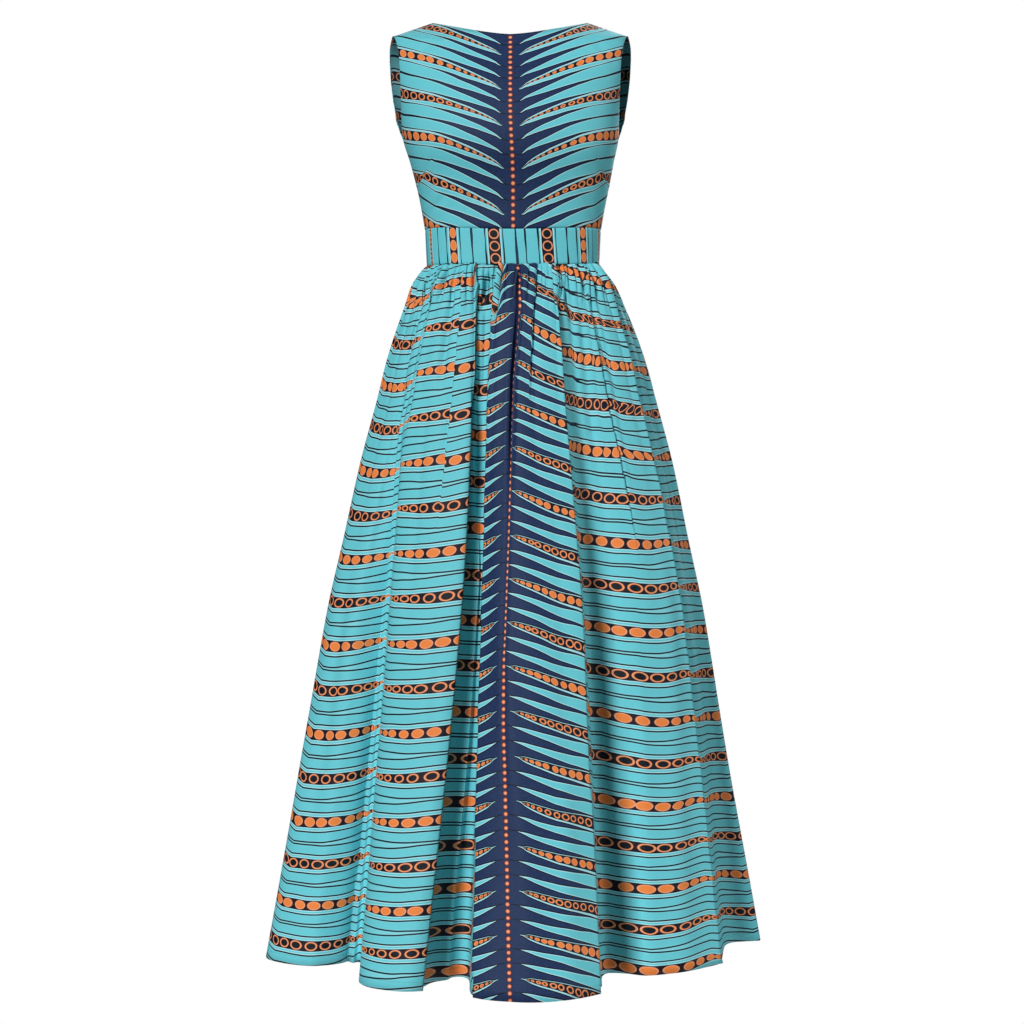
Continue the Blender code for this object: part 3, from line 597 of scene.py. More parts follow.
def crease_skirt(grid, folds):
    """Presses the creases in, along the cloth's normal."""
    lengths = row_lengths(grid)
    normal = normals_of(grid, closed=True)
    heights = grid[:, :, 2].mean(axis=1)
    push = np.zeros(grid.shape[:2])
    for top, bottom, fold_top, fold_bottom, depth, half in SKIRT_CREASES:
        way = (top - heights) / (top - bottom)
        ends = bottom > HEM_Z + 0.01
        for i in np.nonzero((way > -0.02) & (way < 1.02))[0]:
            w = min(max(way[i], 0.0), 1.0)
            centre = np.interp(fold_top + (fold_bottom - fold_top) * w, folds, lengths[i])
            fade = smooth(w, 0.0, 0.25) * (1.0 - smooth(w, 0.65, 1.0) if ends else 1.0)
            gap = (lengths[i] - centre) / (half * (0.7 + 0.6 * w))
            push[i] -= depth * fade * np.exp(-gap * gap)
    for pleat, (strong, spots) in zip(PLEATS, pleat_spots(heights, folds, lengths)):
        side, height, settle = pleat[4:7]
        gap = (lengths - spots[:, None]) * side
        above, below = np.exp(-np.abs(gap) / settle), -np.exp(-np.abs(gap) / (0.5 * settle))
        push += strong[:, None] * height * np.where(gap >= 0.0, above, below)
    u = np.linspace(0.0, math.tau, grid.shape[1])
    veins = vein_lengths(grid, folds, lengths, heights)
    for i, z in enumerate(heights):
        # the crease down the vein of the print, deepest below the waist
        depth = 0.0100 * deep(z, 0.40, 0.47) * (1.0 - deep(z, 0.60, 0.72))
        depth += 0.0024 * deep(z, 0.58, 0.70) * (1.0 - 0.6 * deep(z, 0.95, 1.3))
        gap = (lengths[i] - veins[i]) / VEIN_CREASE_HALF
        push[i] -= depth * np.exp(-gap * gap)
        # hardly noticeable waves of the hanging cloth, uneven in both directions
        low = deep(z, 0.55, 1.1)
        push[i] += 0.0007 * np.sin(u * 23 + 3.0 * math.sin(z * 6.0)) * (0.4 + 0.6 * low)
        push[i] += 0.0005 * np.sin(u * 41 + 9.0 * z + 1.7 * np.sin(u * 5)) * (1.0 - 0.5 * low)
    push[:, 0] = push[:, -1] = 0.5 * (push[:, 0] + push[:, -1])
    return grid + normal * push[..., None]


# How readily cloth is pleated away: anywhere, and at the edge of a pleat over how far
TAKEN_ANYWHERE = 0.08
TAKEN_AT_PLEAT, TAKEN_HALF = 2.5, 0.0022
JUMP_HALF = 0.0008  # half the width over which the print jumps at a pleat
# It is pleated away behind these folds too: fold number, spread
HIDDEN_FOLDS = (
    (3.45, 0.25), (15.60, 0.30), (18.40, 0.30), (22.60, 0.35), (27.60, 0.35), (31.40, 0.35),
)
# Cloth of each back, seam to seam: fold number, width in metres
BACK_RUNS = (
    ((17.0, 0.640), (21.2, 2.0 * TURN), (25.0, 1.250)),
    ((25.0, -1.250), (28.8, -2.0 * TURN), (33.0, -0.640)),
)


def front_run(z, spot, vein):
    """The front's cloth on one row: stops of (length along the row, width of cloth from the vein).
    spot gives the length at a fold number, and vein is the vein's."""
    # low is 0 near the waist, where nothing overhangs, and 1 where the folds hide their sides
    low = deep(z, 0.50, 0.85)
    shut_right = 0.017 * (1.0 - deep(z, 0.90, 1.12))
    shut_left = 0.005 * (1.0 - deep(z, 1.10, 1.18))
    # how far the vein's dots lie open: fully at the waist and low down, shut in the crease
    clear = 1.0 - deep(z, 0.425, 0.460) + 0.30 * deep(z, 0.62, 0.72)
    clear += 0.70 * deep(z, 0.92, 1.05)
    near = 0.0005 + 0.0040 * clear
    dot = near * clear + 0.0040 * (1.0 - clear)
    # below the waist the cloth laps over the vein's left side, and a pleat hides part of the right
    left_fold = 9.42 - 0.45 * deep(z, 0.435, 0.475)
    left_edge = spot(left_fold)
    under = spot(10.72 - 0.10 * deep(z, 0.38, 0.56))
    skip = 0.026 * (1.0 - deep(z, 0.50, 0.62))
    beyond = 1.8 - 0.8 * low
    seam = spot(RIGHT_SEAM_FOLD)
    return [
        (0.0, -TURN - spot(3.20) * beyond),
        (spot(3.20), -TURN),
        (spot(4.05), -0.420),
        (spot(second_edge(z)), -0.310),
        (spot(second_edge(z) + 0.12), -0.250),
        (spot(left_fold - 0.22 - 0.18 * low), -0.205),
        (left_edge, (left_edge - vein) - shut_left),
        (vein - near - 0.0015, -near - 0.0015 - shut_left),
        (vein - near, -dot),
        (vein + near, dot),
        (vein + near + 0.0015, near + 0.0015 + shut_right),
        (under - 0.0009, (under - 0.0009 - vein) + shut_right),
        (under + 0.0009, (under + 0.0009 - vein) + shut_right + skip),
        (spot(11.93), (spot(11.93) - vein) + shut_right + skip),
        (spot(12.08 + 0.30 * low), 0.118 + 0.120 * low),
        (spot(15.00), 0.425),
        (spot(15.12), 0.463),
        (spot(16.00), 0.497),
        (seam, 0.497 + (seam - spot(16.0)) * beyond),
    ]


def lay_cloth(row, run, s, heavy):
    """Fills a row of widths between the stops of run. Cloth beyond the row's own length s goes
    where heavy says that it is taken in; where there is none to spare, it runs evenly."""
    for (s0, u0), (s1, u1) in zip(run, run[1:]):
        inside = (s >= s0 - 1e-9) & (s <= s1 + 1e-9)
        h0, h1 = np.interp((s0, s1), s, heavy)
        more = (u1 - u0) - (s1 - s0)
        if more > 0.0 and h1 - h0 > 1e-6:
            row[inside] = u0 + (s[inside] - s0) + (heavy[inside] - h0) * more / (h1 - h0)
        else:
            row[inside] = u0 + (s[inside] - s0) / max(s1 - s0, 1e-9) * (u1 - u0)


EVEN_COLUMNS, EVEN_SPREAD = 24, 10.0


def even_threads(length):
    """Lengths down the cloth, evened round the skirt: threads across it run even, whatever the
    gathers do."""
    ring = length[:, :-1]
    steps = range(-EVEN_COLUMNS, EVEN_COLUMNS + 1)
    shares = {k: math.exp(-((k / EVEN_SPREAD) ** 2)) for k in steps}
    even = sum(share * np.roll(ring, k, axis=1) for k, share in shares.items())
    even /= sum(shares.values())
    return np.concatenate([even, even[:, :1]], axis=1)


def skirt_cloth(grid, folds, valley):
    """Width of the cloth at each point for the front and for each back, and its length, in metres:
    cloth is pleated away in the gathers' valleys and behind the folds, and lies at its true size on
    what shows."""
    lengths = row_lengths(grid)
    heights = grid[:, :, 2].mean(axis=1)
    taken_in = valley + TAKEN_ANYWHERE
    for centre, spread in HIDDEN_FOLDS:
        taken_in = taken_in + np.exp(-(((folds - centre) / spread) ** 2))
    jump = np.zeros(grid.shape[:2])
    for pleat, (strong, spots) in zip(PLEATS, pleat_spots(heights, folds, lengths)):
        gap = lengths - spots[:, None]
        at_edge = np.exp(-((gap / TAKEN_HALF) ** 2))
        taken_in = taken_in + TAKEN_AT_PLEAT * strong[:, None] * at_edge
        drop, before, after = pleat[7:10]
        ramp = np.interp(folds, (before, after), (0.0, 1.0))
        inside = (folds >= before) & (folds <= after)
        step = smooth(gap, -JUMP_HALF, JUMP_HALF) - ramp
        jump += strong[:, None] * drop * step * inside
    made = [np.zeros(grid.shape[:2]) for _ in SKIRT_CELLS]
    veins = vein_lengths(grid, folds, lengths, heights)
    for i, (s, z, vein) in enumerate(zip(lengths, heights, veins)):
        weight = 0.5 * (taken_in[i, 1:] + taken_in[i, :-1])
        heavy = np.concatenate([[0.0], np.cumsum(np.diff(s) * weight)])

        def spot(fold):
            return float(np.interp(fold, folds, s))

        backs = [[(spot(fold), u) for fold, u in run] for run in BACK_RUNS]
        for width, run in zip(made, [front_run(z, spot, vein)] + backs):
            lay_cloth(width[i], run, s, heavy)
    # by how much the print sits lower, between the guides on either side
    guides = np.array(
        [np.interp(-grid[..., 2], np.array(cm) / 100.0, mm) for _, cm, mm in SKIRT_LEVELS]
    )
    shift = np.zeros(grid.shape[:2])
    column = np.arange(len(folds))
    at_guides = np.array([guide[0] for guide in SKIRT_LEVELS])
    for i, z in enumerate(heights):
        at_guides[SECOND_EDGE_GUIDES] = second_edge(z) + np.array((-0.02, 0.12))
        place = np.where(folds < at_guides[0], folds + (len(FOLDS) - 1), folds)
        place = np.interp(place, at_guides, range(len(at_guides)))
        first = np.minimum(place.astype(int), len(at_guides) - 2)
        share = place - first
        shift[i] = guides[first, i, column] * (1.0 - share) + guides[first + 1, i, column] * share
    return made, even_threads(column_lengths(grid)) + (shift + jump) / 1000.0


# ---------------------------------------------------------------- meshes
dress = bpy.data.collections.new("dress_looks")
bpy.context.scene.collection.children.link(dress)


def add_object(name, data, collection=bpy.context.scene.collection):
    obj = bpy.data.objects.new(name, data)
    collection.objects.link(obj)
    return obj


def shell_mesh(name, outer, inner, cloth_u, cloth_v, looks):
    """A closed thin wall from two grids of points; faces outside take look 0 and inside look 1."""
    rows, cols = outer.shape[:2]
    count = rows * cols
    points = np.concatenate([outer.reshape(-1, 3), inner.reshape(-1, 3)])
    index = np.arange(count).reshape(rows, cols)
    a, b = index[:-1, :-1].ravel(), index[:-1, 1:].ravel()
    c, d = index[1:, 1:].ravel(), index[1:, :-1].ravel()
    outside = np.stack([a, b, c, d], axis=1)
    inside = np.stack([d, c, b, a], axis=1) + count
    ring = np.concatenate([index[0, :-1], index[:-1, -1], index[-1, :0:-1], index[:0:-1, 0]])
    after = np.roll(ring, -1)
    rim = np.stack([after, ring, ring + count, after + count], axis=1)
    faces = np.concatenate([outside, inside, rim])
    # turn the faces out
    corner = points[outside[0]]
    facing = np.cross(corner[1] - corner[0], corner[3] - corner[0])
    if facing @ (outer[0, 0] - inner[0, 0]) < 0.0:
        faces = faces[:, ::-1]
    mesh = bpy.data.meshes.new(name)
    mesh.vertices.add(len(points))
    mesh.vertices.foreach_set("co", points.ravel())
    mesh.loops.add(faces.size)
    mesh.loops.foreach_set("vertex_index", faces.ravel().astype(np.int32))
    mesh.polygons.add(len(faces))
    mesh.polygons.foreach_set("loop_start", np.arange(0, faces.size, 4, dtype=np.int32))
    look_of = np.zeros(len(faces), np.int32)
    look_of[len(outside) : len(outside) + len(inside)] = 1
    mesh.polygons.foreach_set("material_index", look_of)
    mesh.update(calc_edges=True)
    mesh.validate()
    cloth = np.zeros((len(points), 3), np.float32)
    cloth[:, 0] = np.tile(cloth_u.ravel(), 2)
    cloth[:, 1] = np.tile(cloth_v.ravel(), 2)
    layer = mesh.attributes.new("cloth", "FLOAT_VECTOR", "POINT")
    layer.data.foreach_set("vector", cloth.ravel())
    mesh.shade_smooth()
    for look in looks:
        mesh.materials.append(look)
    return add_object(name, mesh, dress)


def shell_from(name, grid, normal, cloth_u, cloth_v, looks, rolls):
    """rolls: (axis, end, width, drop): an edge of the panel that rolls in by drop over width."""
    shift = np.full(grid.shape[:2], LIFT)
    for axis, end, reach, drop in rolls:
        run = column_lengths(grid) if axis == "row" else row_lengths(grid)
        if end == -1:
            run = (run[-1:] if axis == "row" else run[:, -1:]) - run
        shift = shift - drop * np.exp(-((run / reach) ** 2))
    outer = grid + normal * shift[..., None]
    inner = grid + normal * (shift - CLOTH)[..., None]
    return shell_mesh(name, outer, inner, cloth_u, cloth_v, looks)


def share_edges(panels):
    """Panels that meet get the same normals along their common edges."""
    sums = {}
    edges = []
    for grid, normal in panels:
        rows, cols = grid.shape[:2]
        spots = [(i, j) for i in range(rows) for j in (0, cols - 1)]
        spots += [(i, j) for i in (0, rows - 1) for j in range(1, cols - 1)]
        for i, j in spots:
            key = tuple(np.round(grid[i, j], 4))
            sums[key] = sums.get(key, 0.0) + normal[i, j]
            edges.append((normal, i, j, key))
    for normal, i, j, key in edges:
        total = sums[key]
        size = np.linalg.norm(total)
        if size > 1e-6:
            normal[i, j] = total / size


# ---------------------------------------------------------------- node maths
class Value:
    """A number in a shader, so that the print can be written as plain arithmetic."""

    def __init__(self, tree, socket):
        self.tree, self.socket = tree, socket

    def math(self, operation, *others):
        node = self.tree.nodes.new("ShaderNodeMath")
        node.operation = operation
        for item, socket in zip((self,) + others, node.inputs):
            put(self.tree, item, socket)
        return Value(self.tree, node.outputs[0])

    def __rsub__(self, o):
        return (self * -1.0) + o

    def __rtruediv__(self, o):
        return self.math("POWER", -1.0) * o

    def rise(self, low, high):
        """0 below low, 1 above high, smooth between."""
        node = self.tree.nodes.new("ShaderNodeMapRange")
        node.interpolation_type = "SMOOTHSTEP"
        put(self.tree, self, node.inputs["Value"])
        put(self.tree, low, node.inputs["From Min"])
        put(self.tree, high, node.inputs["From Max"])
        return Value(self.tree, node.outputs["Result"])

    def curve(self, table):
        """A smooth curve through a table of (x, y)."""
        xs, ys = [p[0] for p in table], [p[1] for p in table]
        x0, x1, y0, y1 = xs[0], xs[-1], min(ys), max(ys)
        scaled = (self - x0) / (x1 - x0)
        node = self.tree.nodes.new("ShaderNodeFloatCurve")
        line = node.mapping.curves[0]
        spots = [((x - x0) / (x1 - x0), (y - y0) / (y1 - y0)) for x, y in table]
        line.points[0].location = spots[0]
        line.points[1].location = spots[-1]
        for spot in spots[1:-1]:
            line.points.new(*spot)
        for point in line.points:
            point.handle_type = "AUTO_CLAMPED"
        node.mapping.use_clip = False
        node.mapping.update()
        put(self.tree, scaled, node.inputs["Value"])
        return Value(self.tree, node.outputs["Value"]) * (y1 - y0) + y0


def as_method(operation):
    return lambda self, *others: self.math(operation, *others)


for method, operation in (
    ("__add__", "ADD"), ("__radd__", "ADD"), ("__sub__", "SUBTRACT"), ("__mul__", "MULTIPLY"),
    ("__rmul__", "MULTIPLY"), ("__truediv__", "DIVIDE"), ("__gt__", "GREATER_THAN"),
    ("__lt__", "LESS_THAN"), ("abs", "ABSOLUTE"), ("floor", "FLOOR"), ("sqrt", "SQRT"),
    ("exp", "EXPONENT"), ("sin", "SINE"), ("max", "MAXIMUM"), ("min", "MINIMUM"),
    ("mod", "FLOORED_MODULO"), ("pingpong", "PINGPONG"),
):
    setattr(Value, method, as_method(operation))


def put(tree, item, socket):
    if isinstance(item, Value):
        tree.links.new(item.socket, socket)
    else:
        socket.default_value = item


def blend(a, b, share):
    """a where share is 0, b where it is 1; numbers."""
    return a + (b - a) * share


def paint(tree, a, b, share):
    """The same for colours, given as sRGB bytes or as a colour already in the shader."""
    node = tree.nodes.new("ShaderNodeMix")
    node.data_type = "RGBA"
    node.clamp_factor = True
    for item, socket in ((a, node.inputs[6]), (b, node.inputs[7])):
        put(tree, item if isinstance(item, Value) else srgb(*item), socket)
    put(tree, share, node.inputs[0])
    return Value(tree, node.outputs[2])


def srgb(r, g, b):
    def linear(c):
        c /= 255.0
        return c / 12.92 if c <= 0.04045 else ((c + 0.055) / 1.055) ** 2.4

    return (linear(r), linear(g), linear(b), 1.0)


def set_sockets(node, **values):
    """Sets inputs by their names, written with _ for a space."""
    for name, value in values.items():
        node.inputs[name.replace("_", " ")].default_value = value


def noise(tree, vector, scale, detail=2.0, rough=0.5):
    node = tree.nodes.new("ShaderNodeTexNoise")
    tree.links.new(vector, node.inputs["Vector"])
    set_sockets(node, Scale=scale, Detail=detail, Roughness=rough)
    return Value(tree, node.outputs["Fac"])


def join_vector(tree, x, y, z):
    node = tree.nodes.new("ShaderNodeCombineXYZ")
    for item, socket in zip((x, y, z), node.inputs):
        put(tree, item, socket)
    return node.outputs[0]


def chance(tree, x, y, z):
    node = tree.nodes.new("ShaderNodeTexWhiteNoise")
    node.noise_dimensions = "3D"
    tree.links.new(join_vector(tree, x, y, z), node.inputs["Vector"])
    return Value(tree, node.outputs["Value"])


# ---------------------------------------------------------------- the print
TEAL = (112, 205, 216)
PALE = (200, 243, 250)
NAVY = (35, 50, 88)
BLACK = (11, 13, 27)
EMBER = (74, 22, 14)
ORANGE = (240, 140, 80)
SALMON = (250, 172, 136)
RUST = (196, 96, 66)
MOTTLE = (60, 140, 150)
THREAD_ACROSS, THREAD_DOWN = 0.52, 0.56  # mm from thread to thread of the weave

# The leaf repeat on each piece, by distance out (all mm): how far the leaf has risen, half the
# thickness of a plain leaf, of the dotted leaf and of its dark band, how far apart the dots are and
# how big a share of that half a dot takes.
SKIRT_PRINT = {
    "sign": 1.0,
    "bare": (16.0, 17.0),
    "sliver": True,
    "rise": (
        (0, 0), (8, 1.0), (24, 6.5), (43, 14), (69, 23), (95, 33), (118, 41), (150, 51), (190, 60),
        (240, 70), (300, 80), (350, 87), (390, 89), (445, 89),
    ),
    "plain": (
        (0, 0.3), (3, 0.4), (7, 0.9), (12, 1.6), (21, 2.7), (35, 3.7), (49, 4.6), (70, 5.9), (91, 7.2),
        (110, 8.6), (130, 9.4), (445, 9.75),
    ),
    "dotted": (
        (0, 0.3), (4, 0.5), (7, 1.3), (10, 2.7), (13, 3.8), (23, 5.2), (33, 6.0), (43, 6.8), (58, 7.6),
        (73, 8.4), (88, 9.1), (103, 10.0), (445, 11.5),
    ),
    "band": (
        (0, -0.6), (5, -0.2), (8, 1.0), (12, 2.5), (16, 3.0), (23, 3.7), (33, 4.5), (43, 5.2), (58, 5.9),
        (73, 6.6), (88, 7.2), (103, 7.8), (133, 8.3), (445, 8.4),
    ),
    "pitch": (
        (0, 4.0), (20, 4.0), (28, 5.5), (35, 7.2), (42, 9.0), (50, 10.6), (60, 12.0), (75, 12.8),
        (100, 13.2), (125, 13.8), (160, 16.0), (200, 18.0), (240, 20.0), (280, 22.0), (320, 23.5),
        (350, 23.0), (375, 20.5), (395, 17.0), (415, 13.5), (430, 11.0), (445, 9.5),
    ),
    "share": ((0, 0.30), (15, 0.36), (30, 0.42), (60, 0.44), (445, 0.44)),
    "fill": ((0, 0.45), (20, 0.62), (50, 0.76), (90, 0.80), (150, 0.84), (445, 0.84)),
}
BODICE_PRINT = {
    "sign": -1.0,
    "bare": (13.0, 13.0),
    "sliver": False,
    "rise": (
        (0, 0), (8, 0.5), (24, 9), (43, 18), (69, 29), (95, 39), (118, 46), (150, 53), (190, 60),
        (240, 69), (300, 78), (350, 84), (390, 87), (420, 85), (445, 77),
    ),
    "plain": ((0, 0), (10, 1.5), (28, 3.5), (50, 5.4), (75, 7.2), (100, 8.6), (130, 9.6), (445, 9.75)),
    "dotted": (
        (0, 0.5), (6, 2.3), (21, 5.2), (37, 6.6), (52, 8.1), (75, 9.0), (98, 10.3), (130, 11.0), (445, 11.0),
    ),
    "band": (
        (0, 0.1), (6, 0.8), (21, 1.5), (37, 2.3), (52, 3.3), (75, 4.2), (98, 5.3), (120, 6.0),
        (152, 7.0), (200, 7.6), (445, 7.6),
    ),
    "pitch": (
        (0, 4.0), (15, 5.5), (30, 7.4), (49, 9.7), (69, 11.5), (83, 13.4), (97, 14.5), (114, 16.2),
        (150, 17.5), (200, 18.5), (300, 22.0), (445, 22.0),
    ),
    "share": (
        (0, 0.24), (24, 0.30), (49, 0.33), (76, 0.38), (97, 0.40), (114, 0.41), (150, 0.42), (445, 0.42),
    ),
    "fill": ((0, 0.60), (44, 0.70), (76, 0.74), (107, 0.88), (445, 0.88)),
}


def dot_counts(pitch):
    """Dots passed from the vein out, every so often."""
    xs = np.array([p[0] for p in pitch], float)
    ps = np.array([p[1] for p in pitch], float)
    fine = np.linspace(0.0, REACH, 400)
    rate = 1.0 / np.interp(fine, xs, ps)
    total = np.concatenate([[0.0], np.cumsum((rate[1:] + rate[:-1]) / 2 * np.diff(fine))])
    return tuple((float(x), float(np.interp(x, fine, total))) for x in np.linspace(0, REACH, 30))


THIRD = LEAF / 3.0  # the middle of a plain leaf, from the middle of the dotted one
HALF_LINE = 1.15  # half a printed line between the leaves, far out
SOFT = 0.28  # half the softness of a printed edge
VEIN_STEP = 10.0  # from dot to dot down the vein


def dotted_band(tree, x, y, rim, blur, glow, ringed, shown):
    """Colour of a dark band with dots: x and y are counted in half a dot, rim is a ring's thickness
    and blur its edge's, ringed is 1 for rings and 0 for discs, and shown is how much is seen."""
    radius = (x * x + y * y).sqrt()
    disc = 1.0 - radius.rise(1.0 - blur, blur + 1.0)
    hollow = 1.0 - radius.rise(1.0 - rim - blur, 1.0 - rim + blur)
    halo = (1.0 - (radius - 1.0).abs().rise(0.0, 0.5)) * glow
    band = paint(tree, BLACK, EMBER, halo)
    fill = paint(tree, ORANGE, SALMON, radius.rise(0.72, 0.98))
    return paint(tree, band, fill, disc * (1.0 - hollow * ringed) * shown)


def leaf_print(tree, u, v, kind):
    """Colour of the leaf repeat. u and v in mm across and down the cloth; sign is 1 where the
    leaves droop away from the vein and -1 where they rise."""
    sliver = kind["sliver"]
    from_vein = u.pingpong(REACH)
    left, right = kind["bare"]
    bare = blend(right, left, u < 0.0) if left != right else left
    out = (from_vein - bare).max(0.0)
    level = v - from_vein.curve(kind["rise"]) * kind["sign"]
    number = (level / LEAF + 0.5).floor()
    w = level - number * LEAF
    aw = w.abs()

    # the edges of the two wedges of ground, which narrow to lines far out
    half = out.curve(kind["plain"])
    tail = 1.03 - ((REACH - from_vein) * (-1.0 / 38.0)).exp()
    far = out.rise(95.0, 190.0)
    near_tail = from_vein.rise(REACH - 130.0, REACH)
    line_1, line_2 = 12.1, 31.4
    if sliver:
        line_1, line_2 = blend(14.75, 12.9, near_tail), blend(30.15, 25.8, near_tail)
    a1 = blend(out.curve(kind["dotted"]), line_1 - HALF_LINE, far)
    a2 = blend(THIRD - half, line_1 + HALF_LINE, far)
    a3 = blend(half + THIRD, line_2 - HALF_LINE, far)
    wedge_1 = aw.rise(a1 - SOFT, a1 + SOFT) * (1.0 - aw.rise(a2 - SOFT, a2 + SOFT))
    depth_1 = (aw - a1).min(a2 - aw)
    wedge_2 = aw.rise(a3 - SOFT, a3 + SOFT)
    depth_2 = aw - a3
    if sliver:
        a4 = blend(40.0, line_2 + HALF_LINE, out.rise(120.0, 185.0))
        slit = aw.rise(a4 - SOFT, a4 + SOFT)
        wedge_2 = wedge_2 * (1.0 - slit)
        depth_2 = depth_2.min(a4 - aw)
    # black outline round the navy, and a black tick from each plain leaf to the vein
    navy = depth_1.max(depth_2).rise(1.4, 2.1)
    tick = (1.0 - (aw - THIRD).abs().rise(0.4, 1.0)) * (1.0 - out.rise(0.0, 3.0))
    tick = tick * from_vein.rise(4.5, 6.0)

    # leaves: teal, paler at the point and along the edges
    leaf_edge = (aw - a2).min(a3 - aw).abs()
    pale = (1.0 - leaf_edge.rise(0.5, 1.5)) * (1.0 - out.rise(60.0, 170.0) * 0.8) * 0.9
    colour = paint(tree, TEAL, PALE, pale * (aw > a2))
    if sliver:
        colour = paint(tree, colour, PALE, slit * (1.0 - near_tail) * 0.3)

    # the dotted leaf: dark band between pale strips, the wider one below
    band_half = out.curve(kind["band"]) * tail
    in_leaf = aw < a1
    centre = w + (a1 - band_half) * blend(0.45, 0.0, far)
    ab = centre.abs()
    edges = (a1 - aw).min((ab - band_half).max(0.0))
    strip = (1.0 - edges.rise(0.6, 1.8)).max((1.0 - out.rise(20.0, 90.0)) * 0.25)
    colour = paint(tree, colour, PALE, strip * in_leaf * 0.8)
    dark = (1.0 - ab.rise(band_half - 0.25, band_half + 0.3)) * in_leaf

    # its dots: rings on every other leaf, each a little off its place and its size
    count = from_vein.curve(dot_counts(kind["pitch"]))
    pitch = from_vein.curve(kind["pitch"])
    cell = count.floor()
    side = u < 0.0
    lot = chance(tree, cell + side * 61.0, number * 3.7, (u / (2.0 * REACH) + 0.5).floor())
    lot_2 = chance(tree, cell + side * 23.0 + 7.0, number * 5.1, 2.0)
    across = (count - cell - 0.5 - (lot - 0.5) * 0.14) * pitch
    dot_a = pitch * out.curve(kind["share"]) * (1.03 - 0.22 * (lot_2 * lot_2))
    dot_b = (band_half * out.curve(kind["fill"])).min(dot_a * 1.02)
    rim = 1.9 / dot_b.min(dot_a).max(2.6)
    blur = 0.30 / dot_b.max(0.8)
    x, y, shown = across / dot_a, centre / dot_b, out.rise(4.0, 16.0)
    band = dotted_band(tree, x, y, rim, blur, 0.35, number.mod(2.0), shown)
    colour = paint(tree, colour, band, dark)

    deep_ground = paint(tree, BLACK, NAVY, navy)
    colour = paint(tree, colour, deep_ground, wedge_1.max(wedge_2))
    colour = paint(tree, colour, NAVY, 1.0 - out.rise(0.0, 0.5))
    colour = paint(tree, colour, BLACK, tick)
    # the vein's dots, each in a dark red-brown halo
    beat = (v / VEIN_STEP + 0.5).mod(1.0) * VEIN_STEP - VEIN_STEP / 2.0
    spot = (beat * beat + from_vein * from_vein).sqrt()
    colour = paint(tree, colour, EMBER, (1.0 - spot.rise(3.4, 5.0)) * 0.9)
    colour = paint(tree, colour, RUST, 1.0 - spot.rise(2.8, 3.4))
    return paint(tree, colour, SALMON, 1.0 - spot.rise(1.7, 2.6))


# Stripes of the waistband, on the cloth turned a quarter: navy lines, bands with rings, discs or
# small dots, and a line thick enough for a navy core
LINE, RINGS, DISCS, SMALL, WEDGE = range(5)
BAND_STRIPES = (
    # metres across the front, mm wide, kind
    (-0.1246, 6.0, SMALL), (-0.1131, 2.8, LINE), (-0.1001, 3.0, LINE), (-0.0896, 13.0, DISCS),
    (-0.0792, 2.2, LINE), (-0.0612, 4.4, LINE), (-0.0409, 3.2, LINE), (-0.0274, 18.0, RINGS),
    (-0.0140, 2.6, LINE), (0.0052, 4.6, WEDGE), (0.0193, 3.4, LINE), (0.0387, 3.4, LINE),
    (0.0522, 18.0, RINGS), (0.0650, 2.6, LINE), (0.0819, 3.8, LINE), (0.0967, 2.8, LINE),
    (0.1066, 12.5, DISCS), (0.1144, 2.0, LINE), (0.1211, 2.2, LINE), (0.1306, 6.0, SMALL),
)
# Two more lines before each side seam: mm to the seam, width in mm
SIDE_LINES = ((26.0, 2.8), (9.0, 3.2))
BAND_LEAN = 0.075  # mm aside for each mm down
BAND_MIDDLE = 28.0  # mm below the upper seam
# mm from dot to dot down the band, where a large one lies, and half a dot's height by kind
DOT_STEP, SMALL_STEP = 18.4, 7.0
FIRST_DOT = 8.3
DOT_HALF = {RINGS: 7.7, DISCS: 7.9, SMALL: 2.9}


def band_print(tree, u, v, stripes):
    """Colour of the waistband: stripes is (centre mm of cloth, width mm, kind)."""
    lean_u = u - (v - BAND_MIDDLE) * BAND_LEAN
    colour = paint(tree, TEAL, TEAL, 0.0)
    large = ((v - FIRST_DOT) / DOT_STEP + 0.5).mod(1.0) * DOT_STEP - DOT_STEP / 2.0
    small = (v / SMALL_STEP + 0.5).mod(1.0) * SMALL_STEP - SMALL_STEP / 2.0
    lines = cores = 0.0
    for centre, width, kind in stripes:
        off = lean_u - centre
        gap = off.abs()
        if kind in (LINE, WEDGE):
            # printed lines swell and narrow a little down the band
            swell = (v * (0.06 + 0.01 * (centre % 5)) + centre).sin()
            half = width / 2.0 * 0.68 + swell * width * 0.12
            lines = (1.0 - gap.rise(half - 0.3, half + 0.3)).max(lines)
            if kind == WEDGE or width > 4.0:
                cores = (1.0 - gap.rise(half - 1.2, half - 0.7)).max(cores)
            continue
        half = width / 2.0
        pale = 1.0 - (gap - half).rise(0.8, 2.6)
        colour = paint(tree, colour, PALE, pale * 0.8)
        dark = 1.0 - gap.rise(half - 0.3, half + 0.3)
        dot_a = 2.0 if kind == SMALL else min(half - 0.9, 7.7)
        x, y = off / dot_a, (small if kind == SMALL else large) / DOT_HALF[kind]
        ringed = 1.0 if kind == RINGS else 0.0
        band = dotted_band(tree, x, y, 1.9 / dot_a, 0.3 / dot_a, 0.5, ringed, 1.0)
        colour = paint(tree, colour, band, dark)
    colour = paint(tree, colour, BLACK, lines)
    return paint(tree, colour, NAVY, cores)


def new_material(name):
    look = bpy.data.materials.new(name)
    look.use_nodes = True
    return look, look.node_tree, look.node_tree.nodes["Principled BSDF"]


def relieve(tree, shader, height, strength, distance):
    """A bump of height on the surface."""
    bump = tree.nodes.new("ShaderNodeBump")
    set_sockets(bump, Strength=strength, Distance=distance)
    put(tree, height, bump.inputs["Height"])
    tree.links.new(bump.outputs[0], shader.inputs["Normal"])


